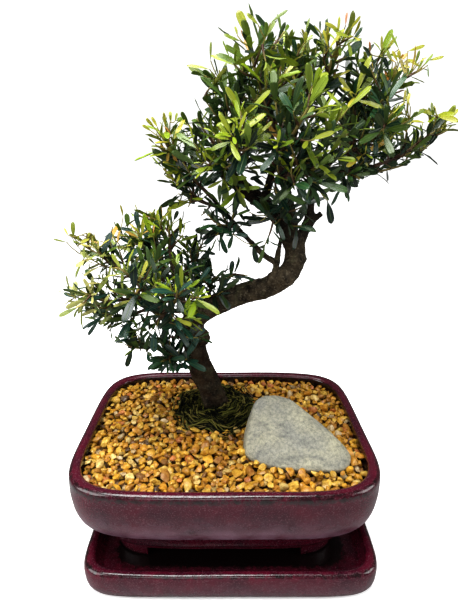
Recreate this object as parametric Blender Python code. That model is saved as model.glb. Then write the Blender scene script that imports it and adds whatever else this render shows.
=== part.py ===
# A boxleaf eugenia bonsai: an S-curved tree with two leafy heads, in a glazed rectangular pot
# that is filled with soil and gravel and stands on a matching drip tray.
# The origin is the centre of the tray's underside. +X is right, +Y is away from the front, +Z is up.

import math
import random

import bpy
import bmesh
from mathutils import Matrix, Vector
from mathutils.bvhtree import BVHTree

# Driving dimensions. All lengths in this script are millimetres until a mesh is made.
METRES = 0.001
GAP = 0.3  # clearance between pieces that touch

# Drip tray
TRAY_WIDTH = 197.0
TRAY_DEPTH = 155.0
TRAY_HEIGHT = 21.0
TRAY_FLOOR = 7.5
TRAY_SQUARENESS = 10.0  # exponent of the rounded rectangle: higher is squarer
# Each ring of the wall is (inset from the outer edge, height).
TRAY_OUTSIDE = ((5.5, 0.0), (2.2, 1.8), (0.6, 6.0), (0.0, 13.0), (0.1, 18.6), (1.5, TRAY_HEIGHT - 0.4))
TRAY_INSIDE = ((4.6, TRAY_HEIGHT), (6.8, 19.0), (7.6, 11.0), (9.0, TRAY_FLOOR))

# Pot, which stands a little off the tray's centre
POT_WIDTH = 205.0
POT_DEPTH = 156.0
POT_HEIGHT = 74.0
POT_SHIFT = Vector((-4.0, 3.0, TRAY_FLOOR + GAP))
POT_SQUARENESS = 5.5
FOOT_HEIGHT = 13.0
BELLY_BOTTOM = 28.0
POT_OUTSIDE = (
    (24.0, 0.0), (23.0, FOOT_HEIGHT - 0.8), (19.6, FOOT_HEIGHT), (18.2, BELLY_BOTTOM - 1.0),
    (15.5, BELLY_BOTTOM), (8.6, 32.5), (3.2, 40.0), (0.5, 50.0), (-0.4, 60.0),
    (0.2, 69.6), (0.0, 72.2), (1.4, POT_HEIGHT),
)
POT_FLOOR = 16.0
POT_INSIDE = (
    (4.8, POT_HEIGHT - 0.1), (7.0, POT_HEIGHT - 2.4), (8.0, 50.0), (12.0, 40.0), (19.0, 34.0), (26.0, 28.0),
    (29.0, POT_FLOOR),
)
FOOT_ARCH_HEIGHT = 9.0  # of the long low openings between the corner feet
FOOT_ARCH_SHARE = 0.52  # of the pot's width and depth that each opening takes
FOOT_WALL = 9.0
DRAIN_RADIUS = 6.0
DRAIN_SPACING = 70.0
WALL_POINTS = 28  # round the pot and the tray

# What fills the pot, in heights above the pot's own underside
SOIL_TOP = 62.0
GRAVEL_TOP = 69.0
PEBBLE_SPACING = 16.5
PEBBLE_RELIEF = 3.0
PEBBLE_SEED = 11

MOSS_CENTRE = (-11.0, 29.0)
MOSS_RADIUS = 33.5
MOSS_HEIGHT = 7.5  # above the gravel
MOSS_SEGMENTS = 20

# Corners of the stone before it is rounded: buried foot, widest girth, then the crest.
STONE_FOOT = 70.4
STONE_GIRTH = 80.0
STONE_FOOT_OUTLINE = (
    (13, -30), (29, -40), (54, -44), (72, -42), (78, -28), (64, -5), (42, 9), (21, 7), (12, -10),
)
STONE_GIRTH_OUTLINE = (
    (8, -35), (23, -47), (50, -51), (76, -51), (84, -36), (71, -10), (47, 10), (19, 10), (8, -12),
)
STONE_CREST = (
    (14, -22, 95), (18, -3, 110), (36, -1, 111), (50, -9, 103), (65, -20, 94), (76, -34, 87), (33, -30, 95),
    (57, -37, 89),
)

# Wood. Each limb is (radius at its start, radius at its end, sides, points on its centreline).
TRUNK_FOOT = 57.0  # lowest point, buried in the soil
LIMBS = {
    "trunk": (9.6, 6.8, 10, (
        (-9, 33, TRUNK_FOOT), (-12, 33, 79), (-18, 32, 100), (-25, 31, 121), (-28, 30, 138), (-27, 29, 152),
        (-19, 27, 161), (-4, 24, 170), (11, 21, 177), (24, 19, 181), (36, 17, 188), (43, 15, 198),
        (44, 15, 210), (41, 15, 219),
    )),
    "left_limb": (6.6, 3.6, 7, (
        (42, 15, 214), (36, 12, 227), (27, 7, 237), (18, 2, 244), (9, -3, 251), (1, -8, 257), (-6, -13, 263),
    )),
    "leader": (4.6, 1.7, 6, (
        (42, 15, 214), (41, 20, 230), (38, 26, 247), (36, 30, 266), (38, 32, 285), (40, 30, 301),
    )),
    "right_limb": (4.4, 1.7, 6, (
        (45, 16, 208), (50, 20, 221), (54, 23, 229), (54, 26, 242), (59, 28, 256), (69, 30, 269),
        (80, 30, 279),
    )),
    "pruned_stub": (2.6, 1.9, 5, ((52, 21, 223), (57, 23, 229), (62, 24, 233))),
    "spur": (2.4, 1.2, 5, ((31, 14, 195), (32, 8, 211), (33, 0, 223))),
    "under_limb": (2.4, 1.3, 5, ((33, 14, 200), (22, 15, 207), (7, 16, 222), (-3, 16, 234), (-12, 15, 244))),
    "front_limb": (3.0, 1.6, 5, ((20, 2, 242), (22, -15, 255), (22, -32, 266))),
    "back_limb": (2.8, 1.5, 5, ((38, 26, 247), (35, 48, 263), (37, 62, 286))),
    "low_right_limb": (2.6, 1.4, 5, ((59, 28, 256), (78, 34, 261), (99, 38, 263))),
    "low_left_limb": (4.0, 1.5, 6, ((-28, 30, 130), (-41, 20, 152), (-51, 12, 171), (-60, 5, 188))),
    "low_up_limb": (3.6, 1.5, 6, ((-28, 29, 143), (-34, 25, 166), (-38, 18, 187), (-41, 12, 205))),
    "low_front_limb": (2.4, 1.4, 5, ((-41, 20, 152), (-47, 0, 166), (-53, -15, 181))),
    "low_hanging_limb": (3.4, 1.4, 5, ((-26, 31, 118), (-45, 24, 128), (-56, 17, 136))),
}
LIMB_STEP = 17.0  # length of each straight facet along a limb
FINE_STEPS = 120  # points in which a curve is measured before it is cut into facets
SOCKET_REACH = 3.2  # how far the stub for each spray stands out of its limb
SOCKET_GAP = 0.7  # between a stub and the spray that carries on from it

# Leafy sprays. Each is (limb, share of the way along it, points on the way, tip, whether it ends in
# a young shoot).
SPRAYS = {
    "far_left": ("under_limb", 1.0, ((-26, 10, 259), (-36, 5, 272)), (-47, 0, 291), True),
    "left_low": ("under_limb", 0.84, ((-23, 19, 243), (-35, 21, 253)), (-52, 21, 271), False),
    "under": ("under_limb", 0.55, ((-7, 6, 228),), (-13, -4, 231), False),
    "left_high": ("left_limb", 1.0, ((2, -18, 282), (1, -16, 298)), (-11, -10, 318), False),
    "top_left": ("leader", 0.7, ((20, -12, 294), (14, -22, 308)), (5, -26, 335), True),
    "top_mid_left": ("leader", 0.84, ((31, 8, 306),), (22, 4, 334), False),
    "top_mid": ("leader", 1.0, ((41, 26, 317),), (44, 22, 339), True),
    "top_right": ("leader", 0.93, ((56, 18, 313),), (65, 8, 342), True),
    "right_top": ("right_limb", 1.0, ((85, 30, 301),), (91, 25, 331), False),
    "right_high": ("right_limb", 0.93, ((87, 16, 292),), (98, 5, 322), True),
    "right_mid": ("right_limb", 0.8, ((83, 4, 278),), (101, -14, 299), True),
    "far_right": ("low_right_limb", 1.0, ((115, 36, 270),), (147, 24, 296), True),
    "right_low": ("low_right_limb", 0.45, ((96, 51, 257), (121, 53, 262)), (139, 52, 272), False),
    "right_droop": ("low_right_limb", 0.3, ((78, 14, 259),), (86, -2, 252), False),
    "front_bright": ("front_limb", 1.0, ((28, -45, 277),), (40, -62, 302), True),
    "front_right": ("front_limb", 0.85, ((42, -36, 271),), (57, -50, 296), True),
    "front_left": ("left_limb", 0.82, ((2, -33, 271),), (4, -56, 290), True),
    "front_low_left": ("left_limb", 0.93, ((-6, -32, 266),), (-15, -44, 272), True),
    "front_mid": ("front_limb", 0.6, ((36, -44, 262),), (50, -60, 271), False),
    "front_low": ("left_limb", 0.25, ((34, -5, 239),), (25, -21, 246), False),
    "back_left": ("back_limb", 0.75, ((22, 70, 294),), (4, 82, 318), False),
    "back_top": ("back_limb", 1.0, ((45, 77, 310),), (53, 85, 335), False),
    "back_right": ("right_limb", 0.88, ((86, 56, 293),), (105, 76, 315), False),
    "left_mid": ("left_limb", 0.9, ((-10, 4, 278),), (-22, 12, 296), False),
    "low_left_up": ("low_left_limb", 1.0, ((-78, 1, 204),), (-104, -3, 224), True),
    "low_left": ("low_left_limb", 0.85, ((-80, -6, 180),), (-107, -14, 194), True),
    "low_left_droop": ("low_left_limb", 0.66, ((-71, 7, 165), (-86, 7, 162)), (-101, 6, 158), False),
    "low_top_left": ("low_up_limb", 0.78, ((-53, 15, 203),), (-67, 12, 232), True),
    "low_top": ("low_up_limb", 1.0, ((-41, 15, 221),), (-39, 16, 237), True),
    "low_top_right": ("low_up_limb", 0.66, ((-27, 28, 195), (-22, 31, 207)), (-16, 33, 219), False),
    "low_front": ("low_front_limb", 1.0, ((-54, -29, 199),), (-51, -38, 215), True),
    "low_front_right": ("low_front_limb", 0.55, ((-38, -19, 180),), (-22, -38, 207), True),
    "low_hanging": ("low_hanging_limb", 1.0, ((-65, 9, 139),), (-76, 0, 143), False),
    "low_right_twig": ("trunk", 0.48, ((-14, 22, 183),), (-2, 17, 198), False),
    "low_back": ("low_up_limb", 0.45, ((-50, 50, 174),), (-68, 74, 190), False),
    "low_trunk": ("low_hanging_limb", 0.45, ((-42, 4, 136),), (-44, -12, 132), False),
}
SPRAY_SEED = 300
CROWN_LENGTH = 15.0  # the last leaves reach this far past the end of the stem, to the tip
SHORTEST_END = 0.15  # least share of the last length that the stem keeps
STEM_RADIUS = (1.35, 0.95)
STEM_SIDES = 5
SOCKET_SIDES = 4
STEM_STEP = 14.0
TWIG_RADIUS = (1.05, 0.9)
TWIG_SIDES = 4
TWIG_STEP = 14.0
TWIGS_PER_MM = 0.13  # side twigs for each millimetre of stem
MOST_TWIGS = 6
TWIG_LENGTH = (13.0, 27.0)
LEAF_NODE_STEP = 5.5  # between the pairs of leaves along a twig
LEAF_LENGTH = 20.0
LEAF_WIDTH_SHARE = 0.27
LEAF_THICKNESS = 0.8
LEAF_END_MARGIN = 1.1  # how far from a twig's end its last leaves grow
LEAVES_PER_MM = 0.07  # for each millimetre of a spray's stem and twigs, in these solids
MOST_LEAVES = 10  # on one spray
SHOOT_LENGTH = 9.0
SHOOT_RADIUS = (0.9, 0.8)

FINISHES = {  # base colour, roughness
    "pot_glaze": ((0.115, 0.012, 0.028), 0.28),
    "tray_glaze": ((0.125, 0.010, 0.026), 0.26),
    "soil": ((0.045, 0.030, 0.020), 0.95),
    "gravel": ((0.52, 0.29, 0.085), 0.5),
    "moss": ((0.020, 0.027, 0.010), 0.9),
    "stone": ((0.34, 0.34, 0.31), 0.8),
    "bark": ((0.090, 0.055, 0.032), 0.85),
    "leaf": ((0.020, 0.070, 0.034), 0.45),
    "young_leaf": ((0.26, 0.37, 0.035), 0.5),
}


# Small helpers

def clear_scene():
    for item in list(bpy.data.objects):
        bpy.data.objects.remove(item)


def finish(name):
    material = bpy.data.materials.get(name) or bpy.data.materials.new(name)
    material.use_nodes = True
    shader = material.node_tree.nodes["Principled BSDF"]
    colour, roughness = FINISHES[name]
    shader.inputs["Base Color"].default_value = (*colour, 1.0)
    shader.inputs["Roughness"].default_value = roughness
    shader.inputs["Metallic"].default_value = 0.0
    material.diffuse_color = (*colour, 1.0)
    return material


def make_object(name, points, faces, finish_name=None):
    mesh = bpy.data.meshes.new(name)
    mesh.from_pydata([Vector(p) * METRES for p in points], [], faces)
    mesh.validate()
    item = bpy.data.objects.new(name, mesh)
    bpy.context.scene.collection.objects.link(item)
    if finish_name:
        mesh.materials.append(finish(finish_name))
    return item


def apply_modifiers(item):
    graph = bpy.context.evaluated_depsgraph_get()
    mesh = bpy.data.meshes.new_from_object(item.evaluated_get(graph))
    item.modifiers.clear()
    item.data = mesh


def split_faces(item):
    """Splits every face into triangles the same way each time, so that a grown copy stays outside."""
    bm = bmesh.new()
    bm.from_mesh(item.data)
    bmesh.ops.triangulate(bm, faces=bm.faces, quad_method="FIXED")
    bm.to_mesh(item.data)
    bm.free()


def combine(item, others, operation):
    """One Boolean of item with all the others, which are then removed."""
    group = bpy.data.collections.new(item.name + "_parts")
    bpy.context.scene.collection.children.link(group)
    for other in others:
        bpy.context.scene.collection.objects.unlink(other)
        group.objects.link(other)
    boolean = item.modifiers.new("combine", "BOOLEAN")
    boolean.operation = operation
    boolean.solver = "EXACT"
    boolean.operand_type = "COLLECTION"
    boolean.collection = group
    apply_modifiers(item)
    for other in list(group.objects):
        bpy.data.objects.remove(other)
    bpy.data.collections.remove(group)


def rounded_ring(half_width, half_depth, squareness, height, centre=(0.0, 0.0), count=WALL_POINTS):
    """Points of a rounded rectangle |x/a|^n + |y/b|^n = 1 at one height."""
    ring = []
    for k in range(count):
        angle = 2 * math.pi * (k + 0.5) / count
        c, s = math.cos(angle), math.sin(angle)
        x = half_width * math.copysign(abs(c) ** (2 / squareness), c)
        y = half_depth * math.copysign(abs(s) ** (2 / squareness), s)
        ring.append(Vector((centre[0] + x, centre[1] + y, height)))
    return ring


def loft(rings):
    """A closed solid through rings of equal count, each end closed by one flat face."""
    count = len(rings[0])
    points = [p for ring in rings for p in ring]
    faces = [tuple(reversed(range(count)))]
    for level in range(len(rings) - 1):
        low, high = level * count, (level + 1) * count
        for k in range(count):
            after = (k + 1) % count
            faces.append((low + k, low + after, high + after, high + k))
    faces.append(tuple(range((len(rings) - 1) * count, len(rings) * count)))
    return points, faces


def box(low, high):
    x0, y0, z0 = low
    x1, y1, z1 = high
    outline = ((x0, y0), (x1, y0), (x1, y1), (x0, y1))
    return loft([[Vector((x, y, z)) for x, y in outline] for z in (z0, z1)])


# Curves and tubes

def curve_point(points, share):
    """A point on the smooth curve through the points, by share of its spans."""
    spans = len(points) - 1
    place = min(max(share, 0.0), 1.0) * spans
    k = min(int(place), spans - 1)
    t = place - k
    p1, p2 = points[k], points[k + 1]
    p0 = points[k - 1] if k > 0 else p1 * 2 - p2
    p3 = points[k + 2] if k + 2 <= spans else p2 * 2 - p1
    return 0.5 * (2 * p1 + (p2 - p0) * t + (2 * p0 - 5 * p1 + 4 * p2 - p3) * t * t
                  + (3 * p1 - p0 - 3 * p2 + p3) * t ** 3)


def line_length(line):
    return sum((b - a).length for a, b in zip(line, line[1:]))


def sampled(points, step):
    """The smooth curve through the points as straight facets of one length, near the step."""
    fine = [curve_point(points, k / FINE_STEPS) for k in range(FINE_STEPS + 1)]
    length = line_length(fine)
    count = max(1, round(length / step))
    line, gone, k = [fine[0]], 0.0, 0
    for facet in range(1, count):
        while gone + (fine[k + 1] - fine[k]).length < length * facet / count:
            gone += (fine[k + 1] - fine[k]).length
            k += 1
        rest = length * facet / count - gone
        line.append(fine[k] + (fine[k + 1] - fine[k]).normalized() * rest)
    return [*line, fine[-1]]


def along_line(line, share):
    """A point of a faceted line and the direction there, for facets of one length."""
    place = min(max(share, 0.0), 1.0) * (len(line) - 1)
    k = min(int(place), len(line) - 2)
    return line[k].lerp(line[k + 1], place - k), (line[k + 1] - line[k]).normalized()


def side_of(direction, turn):
    """A unit vector square to the direction, turned about it; a turn of 0 is the one nearest to up."""
    up = Vector((0, 0, 1)) if abs(direction.z) < 0.95 else Vector((0, -1, 0))
    across = direction.cross(up).normalized()
    upward = across.cross(direction).normalized()
    return upward * math.cos(turn) + across * math.sin(turn)


def tube(points, radii, sides, grow=0.0):
    """A closed tube along a polyline whose radius runs evenly from radii[0] to radii[1]."""
    rings = []
    last = len(points) - 1
    across = side_of((points[1] - points[0]).normalized(), 0.0)
    for k, point in enumerate(points):
        ahead = (points[min(k + 1, last)] - points[max(k - 1, 0)]).normalized()
        across = (across - ahead * across.dot(ahead)).normalized()
        square = ahead.cross(across)
        radius = radii[0] + (radii[1] - radii[0]) * k / last + grow
        middle = point + ahead * (grow * (k == last) - grow * (k == 0))
        turns = [2 * math.pi * j / sides for j in range(sides)]
        rings.append([middle + (across * math.cos(a) + square * math.sin(a)) * radius for a in turns])
    return loft(rings)


def shape_tree(shape):
    return BVHTree.FromPolygons(shape[0], shape[1])


# Pot and tray

def ringed(width, depth, squareness, profile, lift=0.0, centre=(0.0, 0.0)):
    return [
        rounded_ring(width / 2 - inset, depth / 2 - inset, squareness, lift + height, centre)
        for inset, height in profile
    ]


def pot_rings(profile):
    return ringed(POT_WIDTH, POT_DEPTH, POT_SQUARENESS, profile, POT_SHIFT.z, POT_SHIFT[:2])


def make_tray():
    rings = ringed(TRAY_WIDTH, TRAY_DEPTH, TRAY_SQUARENESS, TRAY_OUTSIDE + TRAY_INSIDE)
    return make_object("drip_tray", *loft(rings), "tray_glaze")


def foot_opening_cutters():
    """The hollow under the pot and the two long arches that leave a foot at each corner."""
    x, y, z = POT_SHIFT
    below, top = z - 5.0, z + FOOT_ARCH_HEIGHT
    inset = POT_OUTSIDE[0][0] + FOOT_WALL
    hollow = loft([
        rounded_ring(POT_WIDTH / 2 - inset, POT_DEPTH / 2 - inset, POT_SQUARENESS, height, (x, y))
        for height in (below, top)
    ])
    half_x, half_y = POT_WIDTH * FOOT_ARCH_SHARE / 2, POT_DEPTH * FOOT_ARCH_SHARE / 2
    along_y = box((x - half_x, y - POT_DEPTH, below), (x + half_x, y + POT_DEPTH, top - 1.0))
    along_x = box((x - POT_WIDTH, y - half_y, below), (x + POT_WIDTH, y + half_y, top - 1.0))
    return [make_object("foot_cutter", *shape) for shape in (hollow, along_y, along_x)]


def drain_cutters():
    cutters = []
    for side in (-1, 1):
        middle = Vector((POT_SHIFT.x + side * DRAIN_SPACING / 2, POT_SHIFT.y, POT_SHIFT.z))
        ends = [middle + Vector((0, 0, FOOT_ARCH_HEIGHT - 3)), middle + Vector((0, 0, POT_FLOOR + 3))]
        cutters.append(make_object("drain_cutter", *tube(ends, (DRAIN_RADIUS, DRAIN_RADIUS), 12)))
    return cutters


def make_pot():
    pot = make_object("pot", *loft(pot_rings(POT_OUTSIDE + POT_INSIDE)), "pot_glaze")
    combine(pot, foot_opening_cutters() + drain_cutters(), "DIFFERENCE")
    return pot


# Filling of the pot

def inside_wall(height):
    """The inset of the pot's inner wall at a height, by straight lines between its rings."""
    rings = sorted(POT_INSIDE, key=lambda ring: ring[1])
    for (low_inset, low), (high_inset, high) in zip(rings, rings[1:]):
        if low <= height <= high:
            return low_inset + (high_inset - low_inset) * (height - low) / (high - low)
    return rings[0][0]


def trunk_cutter():
    start, end, sides, _ = LIMBS["trunk"]
    line = sampled(limb_points("trunk"), LIMB_STEP)
    return make_object("trunk_cutter", *tube(line, (start, end), sides, GAP * 1.2))


def make_soil():
    between = sorted(height for _, height in POT_INSIDE if POT_FLOOR < height < SOIL_TOP)
    profile = [(inside_wall(height) + 2 * GAP, height) for height in (POT_FLOOR + GAP, *between, SOIL_TOP)]
    soil = make_object("soil", *loft(pot_rings(profile)), "soil")
    combine(soil, [trunk_cutter()], "DIFFERENCE")
    return soil


def pebble_sheet(half_width, half_depth, base, top):
    """A slab whose upper face is a field of low pebbles, one to each cell of a jittered hexagonal net."""
    draw = random.Random(PEBBLE_SEED)
    across, rise = PEBBLE_SPACING, PEBBLE_SPACING * math.sqrt(3) / 2
    columns, rows = math.ceil(half_width / across) + 1, math.ceil(half_depth / rise) + 1
    corners, points, faces = {}, [], []

    def corner(x, y):
        key = (round(x, 2), round(y, 2))
        if key not in corners:
            corners[key] = len(points)
            shake = across * 0.12
            points.append(Vector((x + draw.uniform(-shake, shake), y + draw.uniform(-shake, shake), top)))
        return corners[key]

    for row in range(-rows, rows + 1):
        for column in range(-columns, columns + 1):
            x, y = (column + 0.5 * (row % 2)) * across, row * rise
            reach = across / math.sqrt(3)
            turns = [math.radians(60 * k + 30) for k in range(6)]
            rim = [corner(x + reach * math.cos(a), y + reach * math.sin(a)) for a in turns]
            middle = sum((points[k] for k in rim), Vector()) / 6
            shake = across * 0.15
            points.append(middle + Vector((draw.uniform(-shake, shake), draw.uniform(-shake, shake),
                                           PEBBLE_RELIEF * draw.uniform(0.6, 1.4))))
            faces += [(rim[k], rim[(k + 1) % 6], len(points) - 1) for k in range(6)]
    return close_below(points, faces, base)


def close_below(points, faces, base):
    """Walls down from the open edge of a sheet, and a flat underside."""
    bm = bmesh.new()
    vertices = [bm.verts.new(p) for p in points]
    for face in faces:
        bm.faces.new([vertices[k] for k in face])
    edges = [edge for edge in bm.edges if edge.is_boundary]
    walls = bmesh.ops.extrude_edge_only(bm, edges=edges)["geom"]
    lowered = [item for item in walls if isinstance(item, bmesh.types.BMVert)]
    for vertex in lowered:
        vertex.co.z = base
    bmesh.ops.contextual_create(bm, geom=[edge for edge in bm.edges if edge.is_boundary])
    bmesh.ops.recalc_face_normals(bm, faces=bm.faces)
    bm.verts.index_update()
    shape = ([v.co.copy() for v in bm.verts], [tuple(v.index for v in face.verts) for face in bm.faces])
    bm.free()
    return shape


def make_gravel():
    x, y, z = POT_SHIFT
    base, top = z + SOIL_TOP + GAP, z + GRAVEL_TOP - PEBBLE_RELIEF / 2
    points, faces = pebble_sheet(POT_WIDTH / 2, POT_DEPTH / 2, base, top)
    gravel = make_object("gravel", [p + Vector((x, y, 0)) for p in points], faces, "gravel")
    inset = inside_wall(SOIL_TOP) + 2 * GAP
    edge = make_object("gravel_edge", *loft(pot_rings([(inset, SOIL_TOP - 3), (inset, POT_HEIGHT + 3)])))
    combine(gravel, [edge], "INTERSECT")
    combine(gravel, [moss_mound("moss_cutter", GAP), rounded_stone("stone_cutter", 2 * GAP)], "DIFFERENCE")
    return gravel


def moss_mound(name, grow=0.0):
    """A low mound of moss round the foot of the trunk, with a wavy edge."""
    base = POT_SHIFT.z + SOIL_TOP + GAP - grow * 2
    gravel_top = POT_SHIFT.z + GRAVEL_TOP
    levels = ((1.0, 0.0, base), (1.0, 0.0, gravel_top - 1.5), (0.86, 0.7, gravel_top + 0.35 * MOSS_HEIGHT),
              (0.62, 0.8, gravel_top + 0.75 * MOSS_HEIGHT), (0.34, 0.6, gravel_top + MOSS_HEIGHT))
    rings = []
    for share, lump, height in levels:
        ring = []
        for k in range(MOSS_SEGMENTS):
            angle = 2 * math.pi * k / MOSS_SEGMENTS
            wave = 1 + 0.05 * math.sin(5 * angle + 1) + 0.035 * math.sin(8 * angle)
            reach = MOSS_RADIUS * share * wave + grow
            rise = lump * math.sin(7 * angle + 9 * share) + (grow if height > base else 0)
            x, y = MOSS_CENTRE
            ring.append(Vector((x + reach * math.cos(angle), y + reach * math.sin(angle), height + rise)))
        rings.append(ring)
    mound = make_object(name, *loft(rings), None if grow else "moss")
    split_faces(mound)
    return mound


def make_moss():
    moss = moss_mound("moss")
    combine(moss, [trunk_cutter()], "DIFFERENCE")
    return moss


def rounded_stone(name, grow=0.0):
    """The stone: the hull of its corners, rounded by one step of subdivision."""
    corners = [Vector((x, y, STONE_FOOT)) for x, y in STONE_FOOT_OUTLINE]
    corners += [Vector((x, y, STONE_GIRTH)) for x, y in STONE_GIRTH_OUTLINE]
    corners += [Vector(corner) for corner in STONE_CREST]
    bm = bmesh.new()
    for corner in corners:
        bm.verts.new(corner * METRES)
    hull = bmesh.ops.convex_hull(bm, input=bm.verts)
    inner = [item for item in hull["geom_interior"] if isinstance(item, bmesh.types.BMVert)]
    bmesh.ops.delete(bm, geom=inner, context="VERTS")
    mesh = bpy.data.meshes.new(name)
    bm.to_mesh(mesh)
    bm.free()
    stone = bpy.data.objects.new(name, mesh)
    bpy.context.scene.collection.objects.link(stone)
    rounding = stone.modifiers.new("rounding", "SUBSURF")
    rounding.levels = rounding.render_levels = 1
    apply_modifiers(stone)
    split_faces(stone)
    lowest = min(v.co.z for v in stone.data.vertices)
    for vertex in stone.data.vertices:
        vertex.co.z += STONE_FOOT * METRES - lowest
    for vertex, normal in [(v, v.normal.copy()) for v in stone.data.vertices]:
        vertex.co += normal * grow * METRES
    if not grow:
        stone.data.materials.append(finish("stone"))
    return stone


# Wood

def limb_points(name):
    return [Vector(p) for p in LIMBS[name][3]]


def limb_radius(name, share):
    start, end = LIMBS[name][:2]
    return start + (end - start) * share


def stem_points(name):
    """The smooth line of a spray from its socket to its tip, and the direction in which it starts."""
    limb, share, way, tip, has_shoot = SPRAYS[name]
    root = curve_point(limb_points(limb), share)
    first = Vector(way[0])
    heading = (first - root).normalized()
    start = root + heading * (limb_radius(limb, share) + SOCKET_REACH)
    last = Vector(way[-1])
    reach = (Vector(tip) - last).length
    crown = CROWN_LENGTH + (SHOOT_LENGTH if has_shoot else 0)
    end = last.lerp(Vector(tip), max(1 - crown / reach, SHORTEST_END))
    return root, heading, [start + heading * SOCKET_GAP, *[Vector(p) for p in way], end]


def make_wood():
    """Trunk, limbs and the short stub that each spray grows from, as one solid."""
    shapes = {}
    for name, (start, end, sides, _) in LIMBS.items():
        shapes[name] = tube(sampled(limb_points(name), LIMB_STEP), (start, end), sides)
    for name in SPRAYS:
        root, heading, line = stem_points(name)
        ends = [root, line[0] - heading * SOCKET_GAP]
        shapes[name + "_stub"] = tube(ends, (STEM_RADIUS[0] * 1.1, STEM_RADIUS[0]), SOCKET_SIDES)
    wood = make_object("trunk", *shapes.pop("trunk"), "bark")
    combine(wood, [make_object(name, *shape) for name, shape in shapes.items()], "UNION")


# Leafy sprays

def twig_lines(name, stem, draw):
    """The side twigs of a stem: each is its line of points. They turn round it by the golden angle."""
    length = line_length(stem)
    count = min(MOST_TWIGS, max(2, round(length * TWIGS_PER_MM)))
    twigs = []
    turn = draw.uniform(0, 2 * math.pi)
    for k in range(count):
        share = 0.16 + 0.74 * k / count + draw.uniform(-0.02, 0.02)
        turn += math.radians(137.5)
        origin, along = along_line(stem, share)
        spread = math.radians(draw.uniform(42, 62))
        heading = along * math.cos(spread) + side_of(along, turn) * math.sin(spread)
        reach = draw.uniform(*TWIG_LENGTH) * (1.0 - 0.45 * share)
        lift = Vector((0, 0, draw.uniform(0.05, 0.25) * reach))
        bent = [origin, origin + heading * reach * 0.55, origin + heading * reach + lift]
        twigs.append(sampled(bent, TWIG_STEP))
    return twigs


def leaf_sites(line, draw, first, young=False):
    """Pairs of leaves along a twig, each a quarter turn from the last, the outermost pair first."""
    length = line_length(line)
    count = max(1, round(length * (1 - first) / LEAF_NODE_STEP))
    turn = draw.uniform(0, math.pi)
    pairs = []
    for k in range(count + 1):
        share = first + (1 - first) * k / count
        turn += math.pi / 2 + draw.uniform(-0.3, 0.3)
        origin, along = along_line(line, min(share, 1 - LEAF_END_MARGIN / length))
        pair = []
        for half in (0, math.pi):
            out = side_of(along, turn + half)
            spread = math.radians(draw.uniform(22, 38) if k == count else draw.uniform(42, 66))
            heading = along * math.cos(spread) + out * math.sin(spread)
            face = (along * math.sin(spread) - out * math.cos(spread)).normalized()
            size = LEAF_LENGTH * draw.uniform(0.78, 1.12) * (0.8 if k == count and not young else 1.0)
            bend = draw.uniform(-0.16, 0.08) * size
            pair.append((origin, heading, face, size, bend))
        pairs.append(pair)
    pairs.reverse()
    return pairs


# A leaf's corners: 0 to 2 across its root, 3 to 5 across its widest place, 6 and 7 its shoulders, 8 its tip.
BLADE_FACES = (
    (0, 1, 3), (1, 4, 3), (1, 2, 5), (1, 5, 4), (3, 4, 6), (4, 8, 6), (4, 7, 8), (4, 5, 7),
    (0, 3, 5, 2), (3, 6, 7, 5), (6, 8, 7), (0, 2, 1),
)
BLADE_ROOT = (0.4, 0.5)  # distance from the twig's middle, half width
BLADE_WIDEST = 0.56  # share of the length
BLADE_SHOULDER = (0.86, 0.74)  # share of the length, share of the width


def blade(site, grow=0.0, start=0.0):
    """A leaf: flat below, ridged along the middle above, widest past its middle, with a blunt tip."""
    origin, heading, face, size, bend = site
    side = heading.cross(face).normalized()
    low, high = -grow - LEAF_THICKNESS / 2, grow + LEAF_THICKNESS / 2
    width = size * LEAF_WIDTH_SHARE / 2 + grow

    def at(along, across, height):
        return origin + heading * along + side * across + face * (height + bend * (along / size) ** 2)

    root, narrow = max(BLADE_ROOT[0], size * start), BLADE_ROOT[1] + grow
    narrow += (width - narrow) * start / BLADE_WIDEST
    wide, shoulder = size * BLADE_WIDEST, size * BLADE_SHOULDER[0]
    shoulder_width = width * BLADE_SHOULDER[1]
    points = [
        at(root, -narrow, low), at(root, 0, high), at(root, narrow, low),
        at(wide, -width, low), at(wide, 0, high), at(wide, width, low),
        at(shoulder, -shoulder_width, low), at(shoulder, shoulder_width, low), at(size + grow, 0, low / 2),
    ]
    return points, list(BLADE_FACES)


class Neighbours:
    """What is already placed, so that each new piece can be kept clear of it."""

    def __init__(self):
        self.pieces = []

    def add(self, owner, shape, outer_shape=None):
        """The outer shape is the part that other pieces of the same owner must stay clear of."""
        trees = (shape_tree(shape), shape_tree(outer_shape or shape))
        self.pieces.append((owner, *shape_bounds(shape), *trees))

    def clear(self, owner, grown_shape, outer_shape=None):
        """True if the grown shape meets no other owner's piece, and the outer shape none of its own."""
        shape_low, shape_high = shape_bounds(grown_shape)
        grown_tree = shape_tree(grown_shape)
        outer_tree = shape_tree(outer_shape) if outer_shape else None
        for other, low, high, tree, own_tree in self.pieces:
            if any(shape_high[k] < low[k] or shape_low[k] > high[k] for k in range(3)):
                continue
            if other != owner and grown_tree.overlap(tree):
                return False
            if other == owner and outer_tree and outer_tree.overlap(own_tree):
                return False
        return True


def shape_bounds(shape):
    low = [min(p[k] for p in shape[0]) for k in range(3)]
    high = [max(p[k] for p in shape[0]) for k in range(3)]
    return low, high


def turned(site, line_direction, angle, shrink):
    """The same leaf turned about its twig and a little shorter."""
    origin, heading, face, size, bend = site
    turn = Matrix.Rotation(angle, 3, line_direction)
    return origin, turn @ heading, turn @ face, size * shrink, bend * shrink


TRIES = ((0.0, 1.0), (0.35, 1.0), (-0.35, 1.0), (0.7, 0.92), (-0.7, 0.92), (0.2, 0.8), (-0.2, 0.8))


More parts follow.
